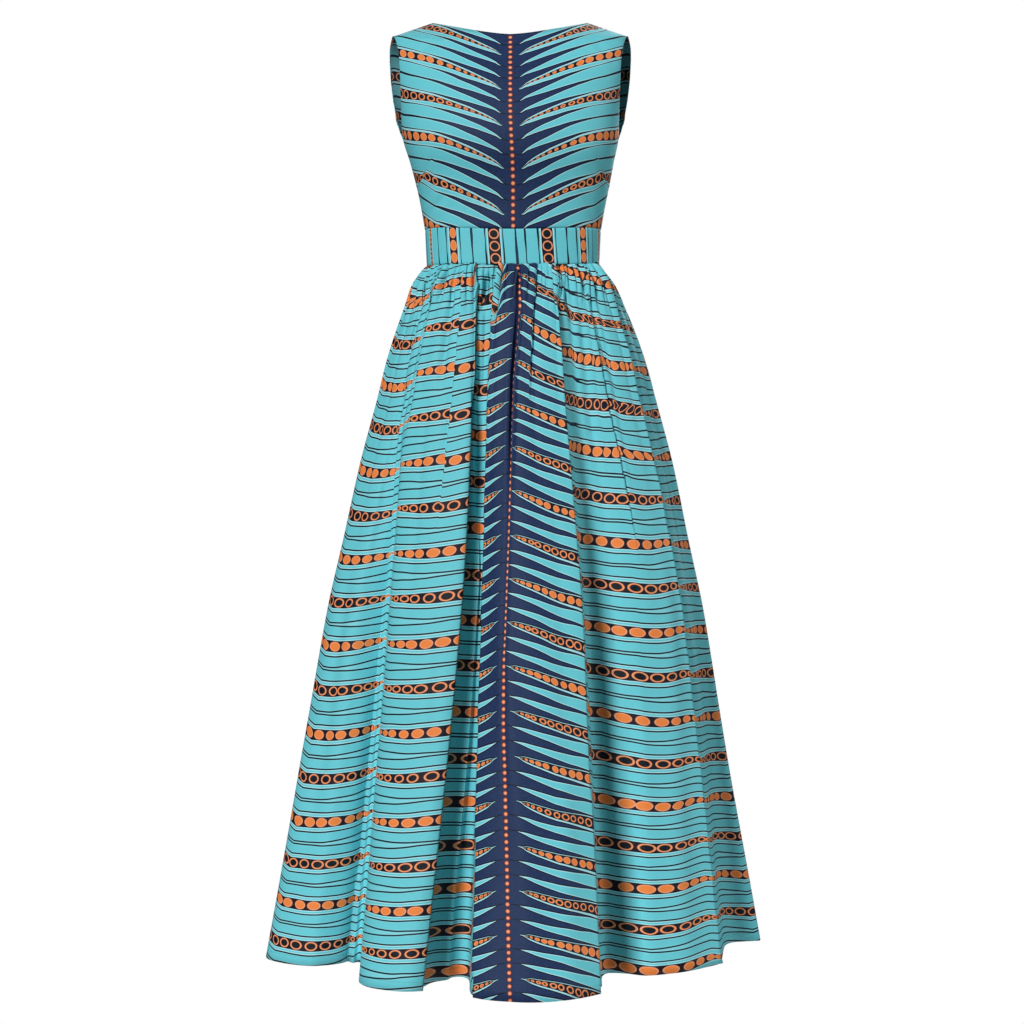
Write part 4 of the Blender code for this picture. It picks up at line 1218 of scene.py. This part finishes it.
def cloth_look(name, make_print, reverse=False):
    """Wax print cotton: the print, slightly mottled as dye is, on a fine plain weave with the dry
    glaze of waxed cotton; reverse is the inside, where the print is a little duller, as the reverse of a
    print is, and darker, which is painted shade."""
    look, tree, shader = new_material(name)
    attribute = tree.nodes.new("ShaderNodeAttribute")
    attribute.attribute_type = "GEOMETRY"
    attribute.attribute_name = "cloth"
    split = tree.nodes.new("ShaderNodeSeparateXYZ")
    tree.links.new(attribute.outputs["Vector"], split.inputs[0])
    u0, v0 = (Value(tree, split.outputs[k]) * 1000.0 for k in (0, 1))
    # the printed edge wanders a little
    flat = join_vector(tree, u0, v0, 0.0)
    u = u0 + (noise(tree, flat, 0.05, 1.0) - 0.5) * 1.2
    v = v0 + (noise(tree, join_vector(tree, v0, u0, 9.0), 0.022, 1.0) - 0.5) * 2.4
    colour = make_print(tree, u, v)
    mottle = noise(tree, flat, 0.22, 3.0, 0.6)
    colour = paint(tree, colour, MOTTLE, (mottle - 0.46).max(0.0) * 0.28)
    thread = (u0 * (math.tau / THREAD_ACROSS)).sin() * (v0 * (math.tau / THREAD_DOWN)).sin()
    slub = noise(tree, join_vector(tree, u0 * 0.12, v0 * 1.9, 0.0), 1.0, 1.0)
    bright = tree.nodes.new("ShaderNodeHueSaturation")
    set_sockets(bright, Saturation=0.92 if reverse else 1.04)
    tree.links.new(colour.socket, bright.inputs["Color"])
    # the inside's value of 0.80 darkens its print: painted shade
    level = (0.80 if reverse else 1.0) + thread * 0.03 + (slub - 0.5) * 0.07 + (mottle - 0.5) * 0.05
    put(tree, level, bright.inputs["Value"])
    tree.links.new(bright.outputs[0], shader.inputs["Base Color"])
    put(tree, 0.62 + (mottle - 0.5) * 0.16, shader.inputs["Roughness"])
    set_sockets(shader, Sheen_Weight=0.03, Sheen_Roughness=0.45, Specular_IOR_Level=0.20)
    relief = thread * 0.5 + slub * 0.6 + noise(tree, flat, 0.045, 2.0) * 4.0
    relieve(tree, shader, relief, 0.35, 0.00012)
    return look


def print_looks(name, make_print):
    """The outside and the inside of one print."""
    # the inside's copy of the print is darker than the outside: painted shade
    return [cloth_look(name, make_print), cloth_look(name + "_inside", make_print, True)]


def plain_look(name, colour, roughness, metallic=0.0, grain=900.0, amount=0.08):
    look, tree, shader = new_material(name)
    where = tree.nodes.new("ShaderNodeTexCoord")
    speck = noise(tree, where.outputs["Object"], grain, 3.0, 0.6)
    darker = tuple(int(c * (1.0 - 3.0 * amount)) for c in colour)
    tint = paint(tree, colour, darker, speck.rise(0.35, 0.75))
    tree.links.new(tint.socket, shader.inputs["Base Color"])
    put(tree, roughness + (speck - 0.5) * 0.2, shader.inputs["Roughness"])
    set_sockets(shader, Metallic=metallic)
    relieve(tree, shader, speck, 0.5, 0.00004)
    return look


# ---------------------------------------------------------------- sewing
STITCH = (0.0021, 0.0005, 0.00028)  # length, width, height
STITCH_SUNK = 0.00004
NECK_STITCHING = (0.0052, 0.0030)  # how far from the edge, and from stitch to stitch
HEM_STITCHING = (0.0130, 0.0034)


def beads(name, places, along, out):
    """Stitches as one mesh: low six-sided lozenges lying along their line."""
    length, width, height = STITCH
    points, faces = [], []
    profile = [
        (-0.5, 0.0, 0.0), (-0.25, 0.5, 0.3), (0.25, 0.5, 0.3), (0.5, 0.0, 0.0),
        (0.25, -0.5, 0.3), (-0.25, -0.5, 0.3), (-0.2, 0.0, 1.0), (0.2, 0.0, 1.0),
    ]
    sides = [
        (0, 1, 6), (1, 2, 7, 6), (2, 3, 7), (3, 4, 7), (4, 5, 6, 7), (5, 0, 6), (5, 4, 3, 2, 1, 0),
    ]
    for p, a, n in zip(places, along, out):
        b = np.cross(n, a)
        start = len(points)
        for x, y, z in profile:
            points.append(p + a * x * length + b * y * width + n * z * height)
        faces += [tuple(start + k for k in side) for side in sides]
    mesh = bpy.data.meshes.new(name)
    mesh.from_pydata([tuple(p) for p in points], [], faces)
    mesh.update()
    mesh.shade_smooth()
    mesh.materials.append(thread_look)
    return add_object(name, mesh, dress)


def stitch_line(line, normal, step):
    """Places, directions and normals every step along a line of points."""
    run = np.concatenate([[0.0], np.cumsum(np.linalg.norm(np.diff(line, axis=0), axis=1))])
    at = np.arange(step * 0.5, run[-1], step)
    place = np.stack([np.interp(at, run, line[:, k]) for k in range(3)], axis=1)
    ahead = np.stack([np.interp(at + step * 0.3, run, line[:, k]) for k in range(3)], axis=1)
    along = ahead - place
    along /= np.maximum(np.linalg.norm(along, axis=1), 1e-9)[:, None]
    out = np.stack([np.interp(at, run, normal[:, k]) for k in range(3)], axis=1)
    out -= along * (out * along).sum(axis=1)[:, None]
    out /= np.linalg.norm(out, axis=1)[:, None]
    return place, along, out


def line_above_edge(grid, normal, distance):
    """A line on a grid, at a distance in from its last row."""
    run = column_lengths(grid)
    run = run[-1:] - run
    line, facing = [], []
    for j in range(grid.shape[1]):
        order = np.argsort(run[:, j])
        r = run[order, j]
        line.append([np.interp(distance, r, grid[order, j, k]) for k in range(3)])
        facing.append([np.interp(distance, r, normal[order, j, k]) for k in range(3)])
    return np.array(line), np.array(facing)


def add_stitches(name, grid, normal, columns, stitching):
    distance, step = stitching
    line, facing = line_above_edge(grid[:, columns], normal[:, columns], distance)
    place, along, out = stitch_line(line, facing, step)
    return beads(name, place + out * (LIFT - STITCH_SUNK), along, out)


# ---------------------------------------------------------------- looks
skirt_look = print_looks("wax_print_skirt", lambda t, u, v: leaf_print(t, u, v, SKIRT_PRINT))
bodice_look = print_looks("wax_print_bodice", lambda t, u, v: leaf_print(t, u, v, BODICE_PRINT))
thread_look = plain_look("sewing_thread", (58, 104, 118), 0.7, grain=2500.0)
tape_look = plain_look("zip_tape_weave", (30, 108, 122), 0.85, grain=2600.0, amount=0.12)
metal_look = plain_look("zip_enamel", (48, 122, 134), 0.34, 0.75, grain=700.0, amount=0.05)
coil_look = plain_look("zip_coil_nylon", (36, 112, 126), 0.45, grain=1500.0)

# ---------------------------------------------------------------- bodice and waistband
front_columns = np.linspace(-HALF_COLUMNS, HALF_COLUMNS, BODICE_CELLS[0] + 1)
back_columns = np.linspace(0.0, HALF_COLUMNS, BODICE_CELLS[0] // 2 + 1)
band_shares = np.linspace(0.0, 1.0, BAND_LINES + 1)
front_middle = len(front_columns) // 2


def band_grid(columns, back):
    return np.array([[band_point(c, s, back) for c in columns] for s in band_shares])


def mirrored(grid, middle):
    """The same grid on the other side of its middle."""
    other = grid.copy()
    other[..., 0] = -(other[..., 0] - middle) + middle
    return other


back_right = bodice_grid(BACK_SECTIONS, back_columns, NECK_BACK_Y, NECK_BACK_Z)
back_right[-1, 0, 0] = lean(back_right[-1, 0, 2]) + BACK_EDGE_X
band_right = band_grid(back_columns, True)
panel_grids = {
    "bodice_front": bodice_grid(FRONT_SECTIONS, front_columns, NECK_FRONT_Y, NECK_FRONT_Z),
    "bodice_back_right": back_right,
    "bodice_back_left": mirrored(back_right, lean(back_right[..., 2])),
    "waistband_front": band_grid(front_columns, False),
    "waistband_back_right": band_right,
    "waistband_back_left": mirrored(band_right, 0.0),
}
panel_normals = {key: normals_of(grid) for key, grid in panel_grids.items()}

# Bust darts: a seam from the side up to near the bust point, with a soft fullness at its end
DARTS = (
    # side_x, side_z, tip_x, tip_z
    (-0.1480, -0.2550, -0.1180, -0.2080),
    (0.1480, -0.2550, 0.1230, -0.2080),
)
DART_DEPTH, DART_HALF = 0.0011, 0.0016
FULLNESS, FULLNESS_HALF = 0.0020, 0.020

# Soft wrinkles of the bodice: towards the armholes, over the waist
BODICE_CREASES = (
    # x0, z0, x1, z1, depth, half_width
    (-0.158, -0.062, -0.105, -0.022, 0.0014, 0.006),
    (-0.160, -0.095, -0.118, -0.068, 0.0010, 0.005),
    (0.158, -0.070, 0.115, -0.020, 0.0012, 0.006),
    (-0.130, -0.300, -0.095, -0.262, 0.0012, 0.006),
    (0.128, -0.302, 0.098, -0.258, 0.0012, 0.006),
    (-0.070, -0.306, -0.062, -0.268, 0.0008, 0.005),
    (0.064, -0.306, 0.058, -0.272, 0.0008, 0.005),
    (0.030, -0.040, 0.080, -0.018, 0.0009, 0.006),
    (-0.140, -0.018, -0.090, -0.030, 0.0012, 0.005),
)
BACK_CREASES = (
    # the same, for the right back
    (0.165, -0.060, 0.110, -0.040, 0.0012, 0.006),
    (0.160, -0.110, 0.120, -0.090, 0.0010, 0.006),
    (0.125, -0.298, 0.080, -0.270, 0.0014, 0.007),
    (0.060, -0.296, 0.040, -0.262, 0.0009, 0.005),
)
SEAM_KEEP = 0.006  # the wrinkles start this far above the waist seam


def from_line(grid, x0, z0, x1, z1, low, high):
    """Seen from the front: how far along a line each point lies, and how far off the line between
    low and high."""
    p, a, b = grid[..., [0, 2]], np.array([x0, z0]), np.array([x1, z1])
    t = ((p - a) @ (b - a)) / ((b - a) @ (b - a))
    return t, np.linalg.norm(p - (a + np.clip(t, low, high)[..., None] * (b - a)), axis=2)


def dart_push(grid):
    push = np.zeros(grid.shape[:2])
    for side_x, side_z, tip_x, tip_z in DARTS:
        t, gap = from_line(grid, side_x, side_z, tip_x, tip_z, -0.3, 1.0)
        push -= DART_DEPTH * np.exp(-((gap / DART_HALF) ** 2)) * (1.0 - smooth(t, 0.75, 1.0))
        full = np.linalg.norm(grid[..., [0, 2]] - np.array([tip_x * 0.93, tip_z + 0.010]), axis=2)
        push += FULLNESS * np.exp(-((full / FULLNESS_HALF) ** 2))
    return push


def crease_push(grid, creases, mirror):
    push = np.zeros(grid.shape[:2])
    for x0, z0, x1, z1, depth, half in creases:
        t, gap = from_line(grid, mirror * x0, z0, mirror * x1, z1, 0.0, 1.0)
        fade = np.sin(math.pi * np.clip(t, 0.02, 0.98))
        push -= depth * np.exp(-((gap / half) ** 2)) * fade
        push += 0.6 * depth * np.exp(-(((gap - 1.6 * half) / half) ** 2)) * fade
    return push


front = panel_grids["bodice_front"]
for key, push in (
    ("bodice_front", dart_push(front) + crease_push(front, BODICE_CREASES, 1.0)),
    ("bodice_back_right", crease_push(panel_grids["bodice_back_right"], BACK_CREASES, 1.0)),
    ("bodice_back_left", crease_push(panel_grids["bodice_back_left"], BACK_CREASES, -1.0)),
):
    fade = smooth(column_lengths(panel_grids[key]), 0.0, SEAM_KEEP)
    panel_grids[key] = panel_grids[key] + panel_normals[key] * (push * fade)[..., None]
panel_normals = {key: normals_of(grid) for key, grid in panel_grids.items()}
share_edges([(panel_grids[key], panel_normals[key]) for key in panel_grids])

# Cloth length on the front by height of the leaf tips; on the back along the cloth
TIP_HEIGHTS = (
    # z at the vein, leaf periods above the waist seam
    (-0.3235, 0.71), (-0.3041, 1.00), (-0.2375, 2.00), (-0.1754, 3.00), (-0.1189, 4.00),
    (-0.0614, 5.00), (-0.0140, 5.84), (0.020, 6.44),
)
# How much higher the side edges are cut on the print: m below the origin, in leaf periods
SIDE_CUT = ((0.0, 0.36), (0.062, 0.34), (0.125, 0.17), (0.188, 0.07), (0.243, 0.10), (0.31, 0.06))
SIDE_WIDTH = 0.175
DART_TAKEN = 0.011
BACK_EDGE_CLOTH = 0.030  # width of cloth from the vein to each back's opening


def bodice_cloth(key):
    """Width and length of the cloth on a bodice panel, in metres."""
    grid = panel_grids[key]
    lengths = row_lengths(grid)
    if key != "bodice_front":
        side = 1.0 if key == "bodice_back_right" else -1.0
        return side * (lengths + BACK_EDGE_CLOTH), -column_lengths(grid)
    u = lengths - lengths[:, front_middle : front_middle + 1]
    x, z = grid[..., 0], grid[..., 2]
    heights, periods = zip(*TIP_HEIGHTS)
    v = -np.interp(z, heights, periods) * LEAF / 1000.0
    drops, cut = zip(*SIDE_CUT)
    v = v + np.interp(-z, drops, cut) * (np.abs(u) / SIDE_WIDTH) ** 1.6 * LEAF / 1000.0
    # below the darts the side of the panel is taken up
    for side_x, side_z, tip_x, tip_z in DARTS:
        line = side_z + (tip_z - side_z) * (x - side_x) / (tip_x - side_x)
        past = np.clip((np.abs(x) - abs(tip_x)) / 0.03, 0.0, 1.0)
        same = np.sign(x) == np.sign(side_x)
        v = v + np.where(same, DART_TAKEN * past * (z < line), 0.0)
    return u, v


# How the waistband's cloth runs: its own length along the middle of the front
half_row = row_lengths(panel_grids["waistband_front"])[BAND_LINES // 2]
half_row = half_row - half_row[front_middle]
side_u = float(half_row[-1])


def band_cloth(key):
    run = row_lengths(panel_grids[key])
    widths = {
        "waistband_front": run - run[:, run.shape[1] // 2][:, None],
        "waistband_back_right": run - run[:, -1:] + side_u,
        "waistband_back_left": run[:, -1:] - run - side_u,
    }
    return widths[key], column_lengths(panel_grids[key])


across = panel_grids["waistband_front"][BAND_LINES // 2, :, 0]
stripes = [(float(np.interp(x, across, half_row)) * 1000.0, w, k) for x, w, k in BAND_STRIPES]
for way in (-1.0, 1.0):
    stripes += [(way * (side_u * 1000.0 - inset), w, LINE) for inset, w in SIDE_LINES]
band_look = print_looks("wax_print_waistband", lambda t, u, v: band_print(t, u, v, stripes))

# Edges that roll in: axis, end, width, drop
WAIST_AND_NECK = (("row", 0, 0.0020, 0.0005), ("row", -1, 0.0012, 0.0003))
AT_LAST_SIDE = ("column", -1, 0.0016, 0.0004)
FRONT_ROLLS = (*WAIST_AND_NECK, ("column", 0, 0.0016, 0.0004), AT_LAST_SIDE)
BACK_ROLLS = (*WAIST_AND_NECK, ("column", 0, 0.0022, 0.0006), AT_LAST_SIDE)
BAND_ROLLS = (("row", 0, 0.0016, 0.0004), ("row", -1, 0.0020, 0.0006))
SKIRT_ROLLS = (
    ("row", 0, 0.0030, 0.0007), ("column", 0, 0.0018, 0.0005), ("column", -1, 0.0018, 0.0005),
)

pieces = {}
for key, grid in panel_grids.items():
    if key.startswith("bodice"):
        cloth, look = bodice_cloth(key), bodice_look
        rolls = FRONT_ROLLS if key == "bodice_front" else BACK_ROLLS
    else:
        cloth, look, rolls = band_cloth(key), band_look, BAND_ROLLS
    pieces[key] = shell_from("print_" + key, grid, panel_normals[key], *cloth, look, rolls)

# ---------------------------------------------------------------- skirt
skirt, skirt_folds, skirt_valley = skirt_form()
skirt = crease_skirt(skirt, skirt_folds)
skirt_widths, skirt_v = skirt_cloth(skirt, skirt_folds, skirt_valley)
skirt_normals = normals_of(skirt, closed=True)
skirt_normals[0, :, 2] = 0.0
skirt_normals[0] /= np.linalg.norm(skirt_normals[0], axis=1)[:, None]

skirt_parts = {}
start = 0
for key, cells in zip(("skirt_front", "skirt_back_right", "skirt_back_left"), SKIRT_CELLS):
    skirt_parts[key] = slice(start, start + cells + 1)
    start += cells
for (key, part), skirt_u in zip(skirt_parts.items(), skirt_widths):
    cloth = (skirt_u[:, part], skirt_v[:, part])
    grid, normal = skirt[:, part], skirt_normals[:, part]
    pieces[key] = shell_from("print_" + key, grid, normal, *cloth, skirt_look, SKIRT_ROLLS)


# ---------------------------------------------------------------- sewing lines and zip
def nearest(columns, value):
    return int(np.argmin(np.abs(columns - value)))


neck_front = slice(nearest(front_columns, -NECK_COLUMN), nearest(front_columns, NECK_COLUMN) + 1)
neck_back = slice(1, nearest(back_columns, NECK_COLUMN) + 1)
sewing = []
for place, columns in (("front", neck_front), ("back_right", neck_back), ("back_left", neck_back)):
    grid, normal = panel_grids["bodice_" + place], panel_normals["bodice_" + place]
    sewing.append(add_stitches("neck_stitching_" + place, grid, normal, columns, NECK_STITCHING))
for key, part in skirt_parts.items():
    name = "hem_stitching_" + key.removeprefix("skirt_")
    sewing.append(add_stitches(name, skirt, skirt_normals, part, HEM_STITCHING))

# Zip: the closed coil along the middle of the tape's inner face, one bar for each tooth
COIL_PITCH = 0.0016
COIL_WIDE = 0.0044
COIL_LONG = 0.0011
COIL_HIGH = 0.0010
COIL_SUNK = 0.0001
COIL_TAPER = 0.6
COIL_ENDS = 0.004
ACROSS = Vector((1.0, 0.0, 0.0))


def inner_line(tape):
    """The middle of the tape's inner face, from the top down."""
    turned = tape.matrix_world.to_3x3()
    levels = {}
    for face in tape.data.polygons:
        if (turned @ face.normal).y < -0.5:
            for k in face.vertices:
                point = tape.matrix_world @ tape.data.vertices[k].co
                levels.setdefault(round(point.z, 5), []).append(point)
    line = []
    for z in sorted(levels, reverse=True):
        xs = [point.x for point in levels[z]]
        line.append(Vector(((min(xs) + max(xs)) / 2, levels[z][0].y, z)))
    return line


def add_coil(tape, look):
    """Small bars with narrower tops, closed, set side by side down the inner line."""
    mesh = bpy.data.meshes.new("zip_coil")
    points, faces = [], []
    line = inner_line(tape)
    whole = sum((b - a).length for a, b in zip(line, line[1:]))
    before = 0.0
    for a, b in zip(line, line[1:]):
        step = (b - a).length
        down = (b - a) / step
        inward = down.cross(ACROSS).normalized()
        first = math.ceil(max(before, COIL_ENDS) / COIL_PITCH)
        last = math.ceil(min(before + step, whole - COIL_ENDS) / COIL_PITCH)
        for tooth in range(first, last):
            middle = a + down * (tooth * COIL_PITCH - before)
            start = len(points)
            for lift, size in ((-COIL_SUNK, 1.0), (COIL_HIGH, COIL_TAPER)):
                for i, j in ((-1, -1), (1, -1), (1, 1), (-1, 1)):
                    aside = ACROSS * (i * COIL_WIDE / 2 * (0.5 + size / 2))
                    points.append(middle + aside + down * (j * COIL_LONG / 2 * size) + inward * lift)
            faces.append((start, start + 1, start + 2, start + 3))
            faces.append((start + 7, start + 6, start + 5, start + 4))
            for k in range(4):
                n = (k + 1) % 4
                faces.append((start + 4 + k, start + 4 + n, start + n, start + k))
        before += step
    mesh.from_pydata([tuple(point) for point in points], [], faces)
    mesh.materials.append(look)
    mesh.update()
    return add_object("zip_coil", mesh)


zip_coil = add_coil(bpy.data.objects["zip_tape"], coil_look)

# ---------------------------------------------------------------- declare
for key, obj in pieces.items():
    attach(obj, "dress")
    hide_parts(key)
for obj in sewing:
    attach(obj, "dress")
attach(zip_coil, "dress")

for node, look in (("zip_tape", tape_look), ("zip_slider", metal_look), ("zip_pull", metal_look)):
    for slot in bpy.data.objects[node].material_slots:
        slot.material = look

# ---------------------------------------------------------------- studio
WHITE = (1.0, 1.0, 1.0, 1.0)
FLOOR_RADIUS, FLOOR_Z, FLOOR_CORNERS = 0.72, -1.73, 96
turns = np.linspace(0, math.tau, FLOOR_CORNERS, endpoint=False)
corners = [(FLOOR_RADIUS * math.cos(a), FLOOR_RADIUS * math.sin(a), FLOOR_Z) for a in turns]
floor_mesh = bpy.data.meshes.new("studio_floor")
floor_mesh.from_pydata(corners, [], [tuple(range(FLOOR_CORNERS))])
floor = add_object("studio_floor", floor_mesh)
floor_look, _, floor_shader = new_material("studio_white")
set_sockets(floor_shader, Base_Color=(0.80, 0.80, 0.80, 1.0), Roughness=0.9)
set_sockets(floor_shader, Emission_Color=WHITE, Emission_Strength=0.05)
floor_mesh.materials.append(floor_look)

# Plain white behind the dress, and a weak even light from all round
world = bpy.data.worlds.new("studio")
bpy.context.scene.world = world
world.use_nodes = True
sky = world.node_tree
backdrop = sky.nodes["Background"]
set_sockets(backdrop, Color=WHITE, Strength=1.0)
soft = sky.nodes.new("ShaderNodeBackground")
set_sockets(soft, Color=WHITE, Strength=0.05)
path = sky.nodes.new("ShaderNodeLightPath")
choose = sky.nodes.new("ShaderNodeMixShader")
sky.links.new(path.outputs["Is Camera Ray"], choose.inputs[0])
sky.links.new(soft.outputs[0], choose.inputs[1])
sky.links.new(backdrop.outputs[0], choose.inputs[2])
sky.links.new(choose.outputs[0], sky.nodes["World Output"].inputs["Surface"])

for name, energy, degrees, way in (
    ("key", 2.90, 14.0, (1.22, 2.4, -1.02)),
    ("side", 1.10, 24.0, (-2.4, 0.55, -0.60)),
    ("behind", 1.60, 40.0, (-0.60, -2.4, -1.10)),
):
    sun = bpy.data.lights.new(name, "SUN")
    sun.energy = energy
    sun.angle = math.radians(degrees)
    add_object(name, sun).rotation_euler = Vector(way).to_track_quat("-Z", "Y").to_euler()

camera_data = bpy.data.cameras.new("camera")
camera_data.sensor_width = SENSOR
camera_data.lens = LENS_PIXELS / PICTURE_PIXELS * SENSOR
camera = add_object("camera", camera_data)
camera.location = CAMERA
camera.rotation_euler = (math.radians(90.0), 0.0, 0.0)
bpy.context.scene.camera = camera
bpy.context.scene.view_settings.view_transform = "Standard"

bpy.context.view_layer.update()
